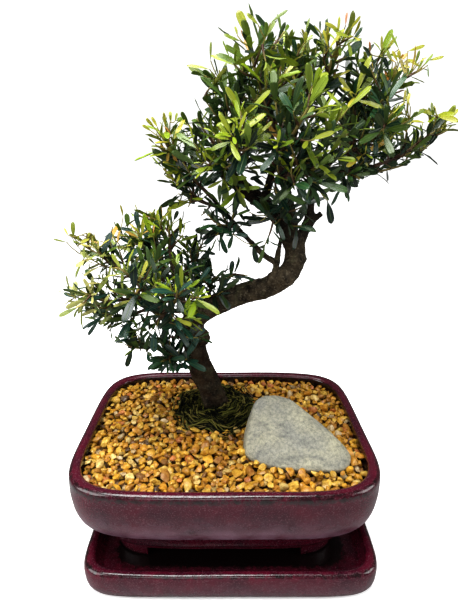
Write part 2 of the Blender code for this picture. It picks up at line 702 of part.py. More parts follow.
def place_leaf(neighbours, owner, site):
    """Adds a leaf where it is clear, bent aside if need be. Returns its shape, or None."""
    axis = (site[1] + site[2]).normalized()
    for angle, shrink in TRIES:
        trial = turned(site, axis, angle, shrink)
        if neighbours.clear(owner, blade(trial, grow=GAP), blade(trial, start=0.3)):
            shape = blade(trial)
            neighbours.add(owner, shape, blade(trial, start=0.25))
            return shape
    return None


def make_foliage():
    neighbours = Neighbours()
    for item in bpy.data.objects:
        corners = [vertex.co / METRES for vertex in item.data.vertices]
        neighbours.add(item.name, (corners, [tuple(face.vertices) for face in item.data.polygons]))
    sprays = {}
    for order, name in enumerate(SPRAYS):
        draw = random.Random(SPRAY_SEED + order)
        stem = sampled(stem_points(name)[2], STEM_STEP)
        shape = tube(stem, STEM_RADIUS, STEM_SIDES)
        sprays[name] = {"stem": stem, "draw": draw, "shapes": [shape], "young": []}
        if not neighbours.clear(name, tube(stem, STEM_RADIUS, STEM_SIDES, GAP)):
            print("stem of", name, "meets another piece")
        neighbours.add(name, shape)
        if SPRAYS[name][4]:
            add_shoot(neighbours, name, sprays[name])
    for name, spray in sprays.items():
        add_twigs(neighbours, name, spray)
    for name, spray in sprays.items():
        add_leaves(neighbours, name, spray)
    for name, spray in sprays.items():
        build_fused("spray_" + name, spray["shapes"], "leaf")
        if spray["young"]:
            build_fused("shoot_" + name, spray["young"], "young_leaf")


def add_shoot(neighbours, name, spray):
    """The young shoot that carries on from the stem's end, with two pairs of pale leaves."""
    end, along = along_line(spray["stem"], 1.0)
    line = [end + along * SOCKET_GAP, end + along * SHOOT_LENGTH]
    owner = name + "_shoot"
    spray["young"].append(tube(line, SHOOT_RADIUS, TWIG_SIDES))
    neighbours.add(owner, spray["young"][0])
    for pair in leaf_sites(line, random.Random(spray["draw"].random()), 0.45, young=True)[:2]:
        for site in pair:
            shape = place_leaf(neighbours, owner, site)
            if shape:
                spray["young"].append(shape)


def add_twigs(neighbours, name, spray):
    """Every second side twig that is clear of the rest of the tree."""
    spray["lines"] = [(spray["stem"], 0.45)]
    for k, line in enumerate(twig_lines(name, spray["stem"], spray["draw"])):
        if k % 2:
            continue
        if neighbours.clear(name, tube(line, TWIG_RADIUS, TWIG_SIDES, GAP)):
            shape = tube(line, TWIG_RADIUS, TWIG_SIDES)
            spray["shapes"].append(shape)
            neighbours.add(name, shape)
            spray["lines"].append((line, 0.4))


def add_leaves(neighbours, name, spray):
    """Leaves by pairs, the outermost pair of each twig first, up to the spray's share."""
    wanted = min(MOST_LEAVES, round(sum(line_length(line) for line, _ in spray["lines"]) * LEAVES_PER_MM))
    ladders = [leaf_sites(line, spray["draw"], first) for line, first in spray["lines"]]
    if spray["young"]:
        ladders[0] = ladders[0][1:]
    level = 0
    while wanted > 0 and any(level < len(ladder) for ladder in ladders):
        for ladder in ladders:
            for site in ladder[level] if level < len(ladder) else ():
                shape = place_leaf(neighbours, name, site) if wanted > 0 else None
                if shape:
                    spray["shapes"].append(shape)
                    wanted -= 1
        level += 1


def build_fused(name, shapes, finish_name):
    item = make_object(name, *shapes[0], finish_name)
    combine(item, [make_object(f"{name}_piece", *shape) for shape in shapes[1:]], "UNION")
    return item


def main():
    clear_scene()
    make_tray()
    make_pot()
    make_soil()
    make_gravel()
    make_moss()
    rounded_stone("stone")
    make_wood()
    make_foliage()


main()
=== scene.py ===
import itertools
import math
import random

import bmesh
import bpy
import numpy as np
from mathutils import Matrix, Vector
from mathutils.bvhtree import BVHTree


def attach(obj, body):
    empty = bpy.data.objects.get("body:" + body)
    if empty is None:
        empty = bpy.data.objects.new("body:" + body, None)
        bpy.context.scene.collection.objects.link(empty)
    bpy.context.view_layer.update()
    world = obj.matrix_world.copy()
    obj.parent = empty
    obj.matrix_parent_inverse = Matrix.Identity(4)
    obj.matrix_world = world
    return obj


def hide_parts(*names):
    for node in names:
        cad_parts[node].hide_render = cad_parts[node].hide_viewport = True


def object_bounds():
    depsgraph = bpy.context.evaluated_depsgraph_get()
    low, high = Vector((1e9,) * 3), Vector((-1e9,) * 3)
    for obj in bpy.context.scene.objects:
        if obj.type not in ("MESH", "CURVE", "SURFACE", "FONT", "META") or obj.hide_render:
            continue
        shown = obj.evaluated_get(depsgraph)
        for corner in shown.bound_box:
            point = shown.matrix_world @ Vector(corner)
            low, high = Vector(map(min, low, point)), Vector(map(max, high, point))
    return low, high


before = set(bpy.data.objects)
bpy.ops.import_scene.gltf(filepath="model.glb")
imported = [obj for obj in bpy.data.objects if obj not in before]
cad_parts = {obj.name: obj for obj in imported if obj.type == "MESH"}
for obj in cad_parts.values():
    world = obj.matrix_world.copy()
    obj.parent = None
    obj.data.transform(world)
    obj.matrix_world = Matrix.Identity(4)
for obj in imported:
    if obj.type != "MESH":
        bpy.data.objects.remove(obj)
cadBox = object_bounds()
print("frame loaded:", len(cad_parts), "nodes")

mm = 0.001  # lengths below are in millimetres until a mesh is made


def putInScene(name, data):
    thing = bpy.data.objects.new(name, data)
    bpy.context.scene.collection.objects.link(thing)
    return thing


def newPiece(name, points, faces, edges=()):
    mesh = bpy.data.meshes.new(name)
    mesh.from_pydata([Vector(p) * mm for p in points], list(edges), faces)
    if faces:
        mesh.polygons.foreach_set("use_smooth", [True] * len(faces))
    return putInScene(name, mesh)


def setAttribute(mesh, name, values):
    values = np.asarray(values, np.float32)
    kind, field = ("FLOAT_VECTOR", "vector") if values.ndim > 1 else ("FLOAT", "value")
    mesh.attributes.new(name, kind, "POINT").data.foreach_set(field, values.ravel())


def cellOf(point, size):
    return tuple(int(c // size) for c in point)


# What is held by a cell and by the cells round it.
def heldNear(cells, cell):
    for step in itertools.product((-1, 0, 1), repeat=len(cell)):
        yield from cells.get(tuple(c + s for c, s in zip(cell, step)), ())


# Turns what the modifiers make into the piece's own plain mesh.
def settle(piece):
    bpy.context.view_layer.update()
    graph = bpy.context.evaluated_depsgraph_get()
    mesh = bpy.data.meshes.new_from_object(
        piece.evaluated_get(graph), preserve_all_data_layers=True, depsgraph=graph)
    piece.modifiers.clear()
    piece.data = mesh


def removeAttributes(mesh, names):
    for name in names:
        if name in mesh.attributes:
            mesh.attributes.remove(mesh.attributes[name])


def handOver(piece, nodes, material=None):
    if material:
        piece.data.materials.clear()
        piece.data.materials.append(material)
    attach(piece, "root")
    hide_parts(*nodes)
    piece.data.calc_loop_triangles()
    print(" ", piece.name, len(piece.data.loop_triangles), "triangles")


# A geometry tree with a geometry input and a named number for each size.
def startTree(name, sizes):
    tree = bpy.data.node_groups.new(name, "GeometryNodeTree")
    tree.interface.new_socket("Geometry", in_out="INPUT", socket_type="NodeSocketGeometry")
    for label, value in sizes.items():
        kind = "NodeSocketInt" if isinstance(value, int) else "NodeSocketFloat"
        tree.interface.new_socket(label, in_out="INPUT", socket_type=kind).default_value = value
    tree.interface.new_socket("Geometry", in_out="OUTPUT", socket_type="NodeSocketGeometry")
    return tree, tree.nodes.new("NodeGroupInput").outputs


# Adds a node, sets its options, and fills or links its inputs.
def add(tree, kind, inputs=None, **options):
    node = tree.nodes.new(kind)
    for key, value in options.items():
        setattr(node, key, value)
    for socket, value in (inputs or {}).items():
        if isinstance(value, bpy.types.NodeSocket):
            tree.links.new(value, node.inputs[socket])
        else:
            node.inputs[socket].default_value = value
    return node


def calc(tree, operation, first, second=0.0, third=0.0):
    given = {0: first, 1: second, 2: third}
    return add(tree, "ShaderNodeMath", given, operation=operation).outputs[0]


def product(tree, first, *others):
    for other in others:
        first = calc(tree, "MULTIPLY", first, other)
    return first


def vectorCalc(tree, operation, first, second=None, scale=None):
    given = {0: first}
    if second is not None:
        given[1] = second
    if scale is not None:
        given["Scale"] = scale
    node = add(tree, "ShaderNodeVectorMath", given, operation=operation)
    return node.outputs["Value" if operation in ("LENGTH", "DOT_PRODUCT") else "Vector"]


def attributeOf(tree, name, kind="FLOAT"):
    node = add(tree, "GeometryNodeInputNamedAttribute", {"Name": name}, data_type=kind)
    return next(out for out in node.outputs if out.enabled and out.name == "Attribute")


def store(tree, geometry, name, value, kind="FLOAT"):
    node = add(tree, "GeometryNodeStoreNamedAttribute", {"Geometry": geometry, "Name": name},
               data_type=kind, domain="POINT")
    target = next(s for s in node.inputs if s.enabled and s.name == "Value")
    if isinstance(value, bpy.types.NodeSocket):
        tree.links.new(value, target)
    else:
        target.default_value = value
    return node.outputs[0]


def curveOf(tree, value, points):
    node = add(tree, "ShaderNodeFloatCurve", {"Value": value})
    line = node.mapping.curves[0]
    line.points[0].location = points[0]
    line.points[1].location = points[-1]
    for x, y in points[1:-1]:
        line.points.new(x, y)
    node.mapping.update()
    return node.outputs[0]


def smoothed(tree, geometry):
    return add(tree, "GeometryNodeSetShadeSmooth", {"Geometry": geometry}).outputs[0]


# Keeps the chosen edges sharp.
def sharpened(tree, geometry, chosen):
    given = {"Geometry": geometry, "Selection": chosen, "Shade Smooth": False}
    return add(tree, "GeometryNodeSetShadeSmooth", given, domain="EDGE").outputs[0]


def movedBy(tree, geometry, kind, vector):
    return add(tree, "GeometryNodeSetPosition", {"Geometry": geometry, kind: vector}).outputs[0]


# One copy of the template on each point, as real geometry.
def grownOn(tree, points, template):
    grown = add(tree, "GeometryNodeInstanceOnPoints", {"Points": points, "Instance": template}).outputs[0]
    return add(tree, "GeometryNodeRealizeInstances", {0: grown}).outputs[0]


def endTree(tree, geometry, material):
    realized = add(tree, "GeometryNodeRealizeInstances", {0: geometry}).outputs[0]
    given = {"Geometry": realized, "Material": material}
    finished = add(tree, "GeometryNodeSetMaterial", given).outputs[0]
    tree.links.new(finished, tree.nodes.new("NodeGroupOutput").inputs[0])


def runTree(piece, tree, sizes):
    modifier = piece.modifiers.new(tree.name, "NODES")
    modifier.node_group = tree
    for item in tree.interface.items_tree:
        if item.in_out == "INPUT" and item.name in sizes:
            modifier[item.identifier] = sizes[item.name]
    settle(piece)


# Pushes a surface in and out by layers of noise; sizes holds each layer's depth and scale in turn.
def roughen(piece, treeName, sizes, details, roughness, level, material):
    tree, given = startTree(treeName, sizes)
    place = add(tree, "GeometryNodeInputPosition").outputs[0]
    labels = list(sizes)
    total = 0.0
    for depth, scale, detail in zip(labels[::2], labels[1::2], details):
        noise = calc(tree, "SUBTRACT", noiseOf(tree, place, given[scale], detail, roughness), level)
        total = calc(tree, "MULTIPLY_ADD", noise, given[depth], total)
    offset = vectorCalc(tree, "SCALE", add(tree, "GeometryNodeInputNormal").outputs[0], scale=total)
    endTree(tree, smoothed(tree, movedBy(tree, given["Geometry"], "Offset", offset)), material)
    runTree(piece, tree, sizes)


# A piece of round tubes along the edges; each point has a girth, and one more number for the material.
def growTubes(name, points, edges, girth, label, values, sides, material):
    piece = newPiece(name, points, [], edges)
    setAttribute(piece.data, "girth", girth)
    setAttribute(piece.data, label, values)
    sizes = {"Sides": sides, "Thicker": 1.0}
    tree, given = startTree(name + "Tubes", sizes)
    lines = add(tree, "GeometryNodeMeshToCurve", {"Mesh": given["Geometry"]}).outputs[0]
    ring = add(tree, "GeometryNodeCurvePrimitiveCircle", {"Resolution": given["Sides"], "Radius": 1.0})
    radius = product(tree, attributeOf(tree, "girth"), given["Thicker"])
    tubes = add(tree, "GeometryNodeCurveToMesh", {
        "Curve": lines, "Profile Curve": ring.outputs[0], "Scale": radius, "Fill Caps": True}).outputs[0]
    endTree(tree, smoothed(tree, tubes), material)
    runTree(piece, tree, sizes)
    removeAttributes(piece.data, ("girth",))
    return piece


def startGroup(name, inputs, outputs):
    group = bpy.data.node_groups.new(name, "ShaderNodeTree")
    for label, value in inputs.items():
        kind = "NodeSocketColor" if isinstance(value, tuple) else "NodeSocketFloat"
        group.interface.new_socket(label, in_out="INPUT", socket_type=kind).default_value = value
    for label, kind in outputs.items():
        group.interface.new_socket(label, in_out="OUTPUT", socket_type=kind)
    return group, group.nodes.new("NodeGroupInput").outputs, group.nodes.new("NodeGroupOutput").inputs


def noiseOf(tree, vector, scale, detail=3.0, roughness=0.55):
    given = {"Vector": vector, "Scale": scale, "Detail": detail, "Roughness": roughness}
    return add(tree, "ShaderNodeTexNoise", given).outputs["Fac"]


def rampOf(tree, value, low, high):
    given = {"Value": value, "From Min": low, "From Max": high}
    return add(tree, "ShaderNodeMapRange", given, clamp=True).outputs[0]


def blendOf(tree, share, first, second, mode="MIX"):
    node = add(tree, "ShaderNodeMix", {0: share, 6: first, 7: second}, data_type="RGBA", blend_type=mode)
    return node.outputs[2]


# From the colour to the tone while the value goes from low to high.
def turning(tree, colour, value, low, high, tone):
    return blendOf(tree, rampOf(tree, value, low, high), colour, tone)


def darkened(tree, colour, tone):
    return blendOf(tree, 1.0, colour, tone, "MULTIPLY")


def placeOf(tree):
    return add(tree, "ShaderNodeTexCoord").outputs["Object"]


def partsOf(tree, vector):
    return add(tree, "ShaderNodeSeparateXYZ", {0: vector}).outputs


def painted(tree, name, output="Fac"):
    return add(tree, "ShaderNodeAttribute", attribute_name=name).outputs[output]


# Colour that wanders between two tones in blotches, with fine speckle over it, and a height for bumps.
def makeMottleGroup():
    inputs = {"Tone": (0.5, 0.5, 0.5, 1), "Other Tone": (0.2, 0.2, 0.2, 1), "Speckle Tone": (0.1, 0.1, 0.1, 1),
              "Blotch Scale": 60.0, "Speckle Scale": 900.0, "Speckle Amount": 0.3}
    outputs = {"Color": "NodeSocketColor", "Height": "NodeSocketFloat", "Speckle": "NodeSocketFloat"}
    group, given, result = startGroup("surfaceMottle", inputs, outputs)
    place = placeOf(group)
    blotch = rampOf(group, noiseOf(group, place, given["Blotch Scale"], 5.0, 0.6), 0.35, 0.65)
    speck = rampOf(group, noiseOf(group, place, given["Speckle Scale"], 2.0, 0.5), 0.56, 0.66)
    tone = blendOf(group, blotch, given["Tone"], given["Other Tone"])
    amount = product(group, speck, given["Speckle Amount"])
    group.links.new(blendOf(group, amount, tone, given["Speckle Tone"]), result["Color"])
    group.links.new(calc(group, "MULTIPLY_ADD", speck, 0.35, blotch), result["Height"])
    group.links.new(speck, result["Speckle"])
    return group


mottleGroup = makeMottleGroup()


def placeGroup(tree, group, values):
    return add(tree, "ShaderNodeGroup", values, node_tree=group).outputs


# The shared mottle: tone, other tone and speckle, then the scales of blotches and speckles.
def mottleOf(tree, tones, blotchScale, speckleScale, amount):
    labels = ("Tone", "Other Tone", "Speckle Tone", "Blotch Scale", "Speckle Scale", "Speckle Amount")
    return placeGroup(tree, mottleGroup, dict(zip(labels, (*tones, blotchScale, speckleScale, amount))))


# A material with one Principled shader; values set its plain sockets.
def startMaterial(name, values):
    material = bpy.data.materials.new(name)
    material.use_nodes = True
    tree = material.node_tree
    shader = tree.nodes["Principled BSDF"]
    for label, value in values.items():
        shader.inputs[label].default_value = value
    return material, tree, shader.inputs


# Gives the shader its colour and its relief.
def finishWith(tree, inputs, colour, height, strength, distance):
    given = {"Height": height, "Strength": strength, "Distance": distance}
    tree.links.new(colour, inputs["Base Color"])
    tree.links.new(add(tree, "ShaderNodeBump", given).outputs[0], inputs["Normal"])


glazeLook = {
    "deep": (0.088, 0.004, 0.016, 1),
    "plum": (0.045, 0.005, 0.014, 1),
    "speck": (0.20, 0.085, 0.105, 1),
    # The thin tone darkens edges where the glaze runs thin, and is also the painted shade on the tray's floor under
    # the pot and in the recess under the pot's belly.
    "thin": (0.008, 0.004, 0.004, 1),  # where the glaze runs thin over an edge
    # The milky tone is dull glaze, and also a painted sheen: the lower belly made lighter where the floor's light
    # would be reflected.
    "milkAndSheen": (0.34, 0.21, 0.28, 1),
    "roughness": 0.25,
    "coat": 0.22,
    "milkAndSheenScale": 90.0, "milkAndSheenAmount": 0.75,
    "wearScale": 260.0,
    "fleckScale": 520.0, "fleckCoat": 2.4, "shineAbove": 0.0095,  # in metres, over the floor of the tray
}


# The thin glaze mask is 1 on edges where the glaze thins, and it also paints shade: the tray's floor grows dark under
# the pot, and the recess under the pot's belly is darkened. The milky mask is 1 where the glaze turns dull and milky,
# and it also paints a sheen on the lower belly, lighter where the floor's light would be reflected.
def makeGlaze(name, redness, dullBelow):
    look = glazeLook
    material, tree, inputs = startMaterial(name, {"Coat Roughness": 0.09, "Specular IOR Level": 0.38})
    deep = tuple(c * redness for c in look["deep"][:3]) + (1,)
    mottle = mottleOf(tree, (deep, look["plum"], look["speck"]), 60.0, 1200.0, 0.5)
    place = placeOf(tree)
    # Milky patches: dull glaze, and a painted sheen on the lower belly.
    patches = rampOf(tree, noiseOf(tree, place, look["milkAndSheenScale"], 6.0, 0.65), 0.30, 0.66)
    milkAndSheenShare = product(tree, painted(tree, "milkAndSheen"), patches, look["milkAndSheenAmount"])
    colour = blendOf(tree, milkAndSheenShare, mottle["Color"], look["milkAndSheen"])
    # The thin glaze tone goes on edges, and as painted shade on the tray's floor and under the belly.
    edge = painted(tree, "thinGlazeAndShade")
    wornAndShaded = calc(tree, "ADD", edge, noiseOf(tree, place, look["wearScale"], 4.0))
    colour = turning(tree, colour, wornAndShaded, 0.70, 1.10, look["thin"])
    # Half worn glaze shines in flecks, but not on the floor of the tray.
    height = partsOf(tree, place)["Z"]
    raised = rampOf(tree, height, look["shineAbove"], look["shineAbove"] + 0.002)
    flecks = rampOf(tree, noiseOf(tree, place, look["fleckScale"], 2.0), 0.34, 0.56)
    glossy = product(tree, edge, calc(tree, "SUBTRACT", 1.0, edge), product(tree, raised, flecks))
    rough = calc(tree, "MULTIPLY_ADD", milkAndSheenShare, 0.35, look["roughness"])
    tree.links.new(calc(tree, "MULTIPLY_ADD", glossy, -0.5, rough), inputs["Roughness"])
    coat = calc(tree, "MULTIPLY_ADD", glossy, look["fleckCoat"], look["coat"])
    shown = rampOf(tree, height, dullBelow, dullBelow + 0.004)  # the feet were left nearly dry
    tree.links.new(product(tree, coat, shown), inputs["Coat Weight"])
    waves = noiseOf(tree, place, 130.0, 3.0, 0.5)
    skin = calc(tree, "MULTIPLY_ADD", noiseOf(tree, place, 900.0, 2.0), 0.10, waves)
    finishWith(tree, inputs, colour, calc(tree, "MULTIPLY_ADD", mottle["Speckle"], 0.12, skin), 0.4, 0.0008)
    return material


# Finds each goal on a line of these lengths: the span that it falls in, and its share of the span.
def spansOf(lengths, goals):
    k = 0
    for goal in goals:
        while k < len(lengths) - 2 and lengths[k + 1] < goal:
            k += 1
        yield k, (goal - lengths[k]) / max(lengths[k + 1] - lengths[k], 1e-9)


# Points of a rounded rectangle |x/a|^n + |y/b|^n = 1, with corners and sides evenly covered.
def roundedRing(halfWidth, halfDepth, squareness, height, centre, count):
    fine = []
    for k in range(count * 8):
        angle = 2 * math.pi * k / (count * 8)
        c, s = math.cos(angle), math.sin(angle)
        fine.append((halfWidth * math.copysign(abs(c) ** (2 / squareness), c),
                     halfDepth * math.copysign(abs(s) ** (2 / squareness), s)))
    lengths = [0.0]
    for (x0, y0), (x1, y1) in zip(fine, fine[1:] + fine[:1]):
        lengths.append(lengths[-1] + math.hypot(x1 - x0, y1 - y0))
    ring = []
    for k, share in spansOf(lengths, [lengths[-1] * step / count for step in range(count)]):
        (x0, y0), (x1, y1) = fine[k], fine[(k + 1) % len(fine)]
        ring.append(Vector((centre[0] + x0 + (x1 - x0) * share, centre[1] + y0 + (y1 - y0) * share, height)))
    return ring


def curvePoint(points, share):
    spans = len(points) - 1
    place = min(max(share, 0.0), 1.0) * spans
    k = min(int(place), spans - 1)
    t = place - k
    p1, p2 = points[k], points[k + 1]
    p0 = points[k - 1] if k > 0 else p1 * 2 - p2
    p3 = points[k + 2] if k + 2 <= spans else p2 * 2 - p1
    return 0.5 * (2 * p1 + (p2 - p0) * t + (2 * p0 - 5 * p1 + 4 * p2 - p3) * t * t
                  + (3 * p1 - p0 - 3 * p2 + p3) * t ** 3)


# The smooth line through the points, in steps of one length.
def evenLine(points, step, samples=160):
    fine = [curvePoint(points, k / samples) for k in range(samples + 1)]
    lengths = [0.0]
    for a, b in zip(fine, fine[1:]):
        lengths.append(lengths[-1] + (b - a).length)
    count = max(1, round(lengths[-1] / step))
    goals = [lengths[-1] * facet / count for facet in range(count + 1)]
    return [fine[k].lerp(fine[k + 1], min(share, 1.0)) for k, share in spansOf(lengths, goals)]


# Rings of one count joined into a closed shell.
def loftFaces(ringCount, count):
    faces = [tuple(reversed(range(count)))]
    for level in range(ringCount - 1):
        low, high = level * count, (level + 1) * count
        for k in range(count):
            after = (k + 1) % count
            faces.append((low + k, low + after, high + after, high + k))
    faces.append(tuple(range((ringCount - 1) * count, ringCount * count)))
    return faces


# profile: inset, height, and where they aren't 0 the thin glaze and painted shade mask and the milky glaze and
# painted sheen mask, round the section from the underside's edge to the inner floor.
def turnedVessel(name, look):
    rows = profileRows([Vector((*p, 0, 0)[:4]) for p in look["profile"]], look["rowStep"])
    centre, around, waver = look["centre"], look["around"], look["waver"]
    points, thinGlazeAndShadeMask, milkAndSheenMask = [], [], []
    for inset, height, edge, milkAndSheen in rows:
        ring = roundedRing(look["width"] / 2 - inset, look["depth"] / 2 - inset, look["squareness"],
                           look["lift"] + height, centre, around)
        for k, point in enumerate(ring):  # the wall is pressed by hand, so it wavers a little
            angle = 2 * math.pi * k / around
            sway = 0.5 + 0.25 * math.sin(5 * angle + 0.7) + 0.25 * math.sin(11 * angle + height * 0.05)
            out = Vector((point.x - centre[0], point.y - centre[1], 0)).normalized()
            if height > look["evenBelow"]:
                point -= out * waver * sway
                point.z -= waver * 0.8 * (0.5 + 0.5 * math.sin(7 * angle + 2.0)) * min(1.0, height / 15)
        points += ring
        thinGlazeAndShadeMask += [edge] * around
        milkAndSheenMask += [milkAndSheen] * around
    piece = newPiece(name, points, loftFaces(len(rows), around))
    setAttribute(piece.data, "thinGlazeAndShade", thinGlazeAndShadeMask)
    setAttribute(piece.data, "milkAndSheen", milkAndSheenMask)
    return piece


# The rows of a profile, a step apart by their first two numbers.
def profileRows(points, step, samples=900):
    fine = [curvePoint(points, k / samples) for k in range(samples + 1)]
    rows, gone = [fine[0]], 0.0
    for a, b in zip(fine, fine[1:]):
        gone += math.hypot(b[0] - a[0], b[1] - a[1])
        if gone >= step:
            rows.append(b)
            gone = 0.0
    if (Vector(rows[-1][:2]) - Vector(fine[-1][:2])).length > step * 0.3:
        rows.append(fine[-1])
    return [(p[0], max(p[1], 0.0), min(max(p[2], 0), 1), min(max(p[3], 0), 1)) for p in rows]


trayShape = {
    "width": 197.0, "depth": 155.0, "squareness": 10.0, "lift": 0.0, "centre": (0.0, 0.0),
    "around": 220, "rowStep": 1.3, "waver": 0.5, "evenBelow": 2.0,
    "profile": (
        (30.0, 0.0), (5.6, 0.0), (3.6, 0.5, 0.3), (2.2, 1.8, 0.2, 0.1), (0.7, 6.0, 0, 0.15), (0.1, 12.0, 0, 0.1),
        (0.15, 17.0), (0.7, 19.4, 0.35), (1.9, 20.75, 0.5), (3.6, 20.9, 0.1), (5.2, 20.4), (6.6, 18.9, 0.35),
        (7.2, 15.0, 0.1), (7.7, 11.0, 0.1), (9.3, 8.2, 0.3), (13.0, 7.55, 0.15), (18.0, 7.5, 0.4),
        # From here the tray's floor grows darker towards the middle, near black under the pot: painted shade.
        (24.0, 7.5, 1.0), (40.0, 7.5, 1.0),
    ),
}

potShape = {
    "width": 205.0, "depth": 156.0, "squareness": 5.5, "lift": 7.8, "centre": (-4.0, 3.0),
    "around": 240, "rowStep": 1.1, "waver": 0.35, "evenBelow": 2.0,
    "profile": (
        # The third column darkens the feet and the neck under the belly: thin glaze at their edges, and painted shade
        # in the recess.
        (28.0, 0.05), (24.6, 0.05, 0.5), (24.0, 1.0, 0.4), (23.4, 6.0, 0.1), (22.9, 11.6, 0.1), (21.4, 12.8, 0.4),
        (20.0, 13.4, 0.4), (19.3, 15.0, 0.2), (18.5, 24.0, 0.1), (17.4, 27.4, 0.2), (15.0, 28.6, 0.3, 0.5),
        # The fourth column lightens the lower belly: milky glaze, and a painted sheen where the floor's light would
        # be reflected.
        (11.6, 30.0, 0.1, 1.0), (8.6, 32.6, 0, 1.0), (5.2, 36.6, 0, 1.0), (2.6, 42.0, 0, 0.7), (0.8, 49.0, 0, 0.3),
        (0.0, 56.0, 0, 0.08), (-0.3, 62.0), (-0.2, 67.0, 0.1), (-0.1, 69.4, 0.35), (0.0, 70.9, 0.5),
        # The inner wall is darkened down where it meets the gravel: painted shade.
        (0.35, 72.4, 0.35), (1.5, 73.6, 0.5), (3.4, 74.0), (5.4, 73.6), (6.7, 72.2, 0.3), (7.1, 69.5, 0.7),
        (7.5, 60.0, 0.3), (8.0, 50.0), (12.0, 40.0), (19.0, 34.0), (26.0, 28.0), (29.0, 17.0), (34.0, 16.0),
    ),
    "footInset": 24.0, "footWall": 9.0, "footAround": 120, "archHeight": 9.0, "archShare": 0.52,
    "drainRadius": 6.0, "drainSpacing": 70.0, "drainAround": 32,
    "edgeRadius": 0.7, "edgeAngle": 50,
}


def boxPiece(name, low, high):
    outline = ((low[0], low[1]), (high[0], low[1]), (high[0], high[1]), (low[0], high[1]))
    points = [(x, y, z) for z in (low[2], high[2]) for x, y in outline]
    return newPiece(name, points, loftFaces(2, 4))


# Cuts the shapes out of the piece, one after the other, and removes them.
def cutAway(piece, cutters):
    for cutter in cutters:
        cut = piece.modifiers.new("cut", "BOOLEAN")
        cut.operation = "DIFFERENCE"
        cut.solver = "EXACT"
        cut.object = cutter
        settle(piece)
        bpy.data.objects.remove(cutter)


def makePotFeet(pot, look):
    (x, y), z = look["centre"], look["lift"]
    low, roof = z - 5, z + look["archHeight"]
    pastX, pastY = 115, 90  # beyond the walls
    inset = look["footInset"] + look["footWall"]
    hollow = [p for height in (low, roof) for p in roundedRing(
        look["width"] / 2 - inset, look["depth"] / 2 - inset, look["squareness"], height, (x, y), look["footAround"])]
    halfX, halfY = look["width"] * look["archShare"] / 2, look["depth"] * look["archShare"] / 2
    cutters = [newPiece("hollow", hollow, loftFaces(2, look["footAround"])),
               boxPiece("archY", (x - halfX, y - pastY, low), (x + halfX, y + pastY, roof - 1.0)),
               boxPiece("archX", (x - pastX, y - halfY, low), (x + pastX, y + halfY, roof - 1.0))]
    for side in (-1, 1):
        middle = (x + side * look["drainSpacing"] / 2, y)
        radius, around = look["drainRadius"], look["drainAround"]
        hole = [p for height in (z + 3, z + 20) for p in roundedRing(radius, radius, 2.0, height, middle, around)]
        cutters.append(newPiece("drain", hole, loftFaces(2, around)))
    cutAway(pot, cutters)
    soften = pot.modifiers.new("soften", "BEVEL")
    soften.width = look["edgeRadius"] * mm
    soften.segments = 2
    soften.limit_method = "ANGLE"
    soften.angle_limit = math.radians(look["edgeAngle"])
    settle(pot)
    pot.data.polygons.foreach_set("use_smooth", [True] * len(pot.data.polygons))


print("pot and tray")
potGlaze = makeGlaze("potGlaze", 1.0, 0.020)
trayGlaze = makeGlaze("trayGlaze", 1.15, -0.010)
tray = turnedVessel("glazedTray", trayShape)
handOver(tray, ["drip_tray"], trayGlaze)
pot = turnedVessel("glazedPot", potShape)
makePotFeet(pot, potShape)
handOver(pot, ["pot"], potGlaze)


bedLook = {
    "soilTop": 69.8, "gravelTop": 76.8, "wallInset": 7.0,
    "soilTones": ((0.16, 0.085, 0.022, 1), (0.065, 0.032, 0.012, 1), (0.34, 0.20, 0.06, 1)),
}


# The solid of the soil stays, and only gets its finish.
def dressSoil(look):
    material, tree, inputs = startMaterial("soilCrumb", {"Roughness": 0.95})
    mottle = mottleOf(tree, look["soilTones"], 220.0, 700.0, 0.5)
    finishWith(tree, inputs, mottle["Color"], mottle["Height"], 0.8, 0.001)
    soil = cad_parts["soil"].data
    soil.materials.clear()
    soil.materials.append(material)


print("soil")
dressSoil(bedLook)


stoneLook = {
    "footHeight": 70.4, "girthHeight": 80.0,
    "foot": ((13, -30), (29, -40), (54, -44), (72, -42), (78, -28), (64, -5), (42, 9), (21, 7), (12, -10)),
    "girth": ((8, -35), (23, -47), (50, -51), (76, -51), (84, -36), (71, -10), (47, 10), (19, 10), (8, -12)),
    "crest": ((14, -22, 95), (18, -3, 110), (36, -1, 111), (50, -9, 103), (65, -20, 94), (76, -34, 87),
              (33, -30, 95), (57, -37, 89)),
    "crispness": 0.32,  # how much of the hull's edges shows, 0 to 1
    "roughness": 0.6,
    "tones": ((0.305, 0.30, 0.25, 1), (0.45, 0.425, 0.30, 1), (0.12, 0.125, 0.13, 1)),
    "streakTone": (0.135, 0.14, 0.13, 1), "streakScale": 70.0,
    "grainTone": (0.52, 0.54, 0.56, 1), "grainScale": 480.0,
    "dents": {"Dent Depth": 3.0 * mm, "Dent Scale": 38.0, "Grain Depth": 0.35 * mm, "Grain Scale": 300.0},
}


def makeStoneMaterial(look):
    values = {"Roughness": look["roughness"], "Specular IOR Level": 0.4}
    material, tree, inputs = startMaterial("riverStone", values)
    mottle = mottleOf(tree, look["tones"], 42.0, 1100.0, 0.4)
    place = placeOf(tree)
    stretched = add(tree, "ShaderNodeMapping", {
        "Vector": place, "Scale": (1.0, 2.6, 3.4), "Rotation": (0.3, 0.5, 0.6)}).outputs[0]
    streaks = rampOf(tree, noiseOf(tree, stretched, look["streakScale"], 6.0, 0.62), 0.5, 0.66)
    colour = blendOf(tree, product(tree, streaks, 0.55), mottle["Color"], look["streakTone"])
    grain = noiseOf(tree, place, look["grainScale"], 6.0, 0.75)
    colour = turning(tree, darkened(tree, colour, look["grainTone"]), grain, 0.36, 0.58, colour)
    finishWith(tree, inputs, colour, calc(tree, "ADD", mottle["Height"], grain), 0.6, 0.0006)
    return material


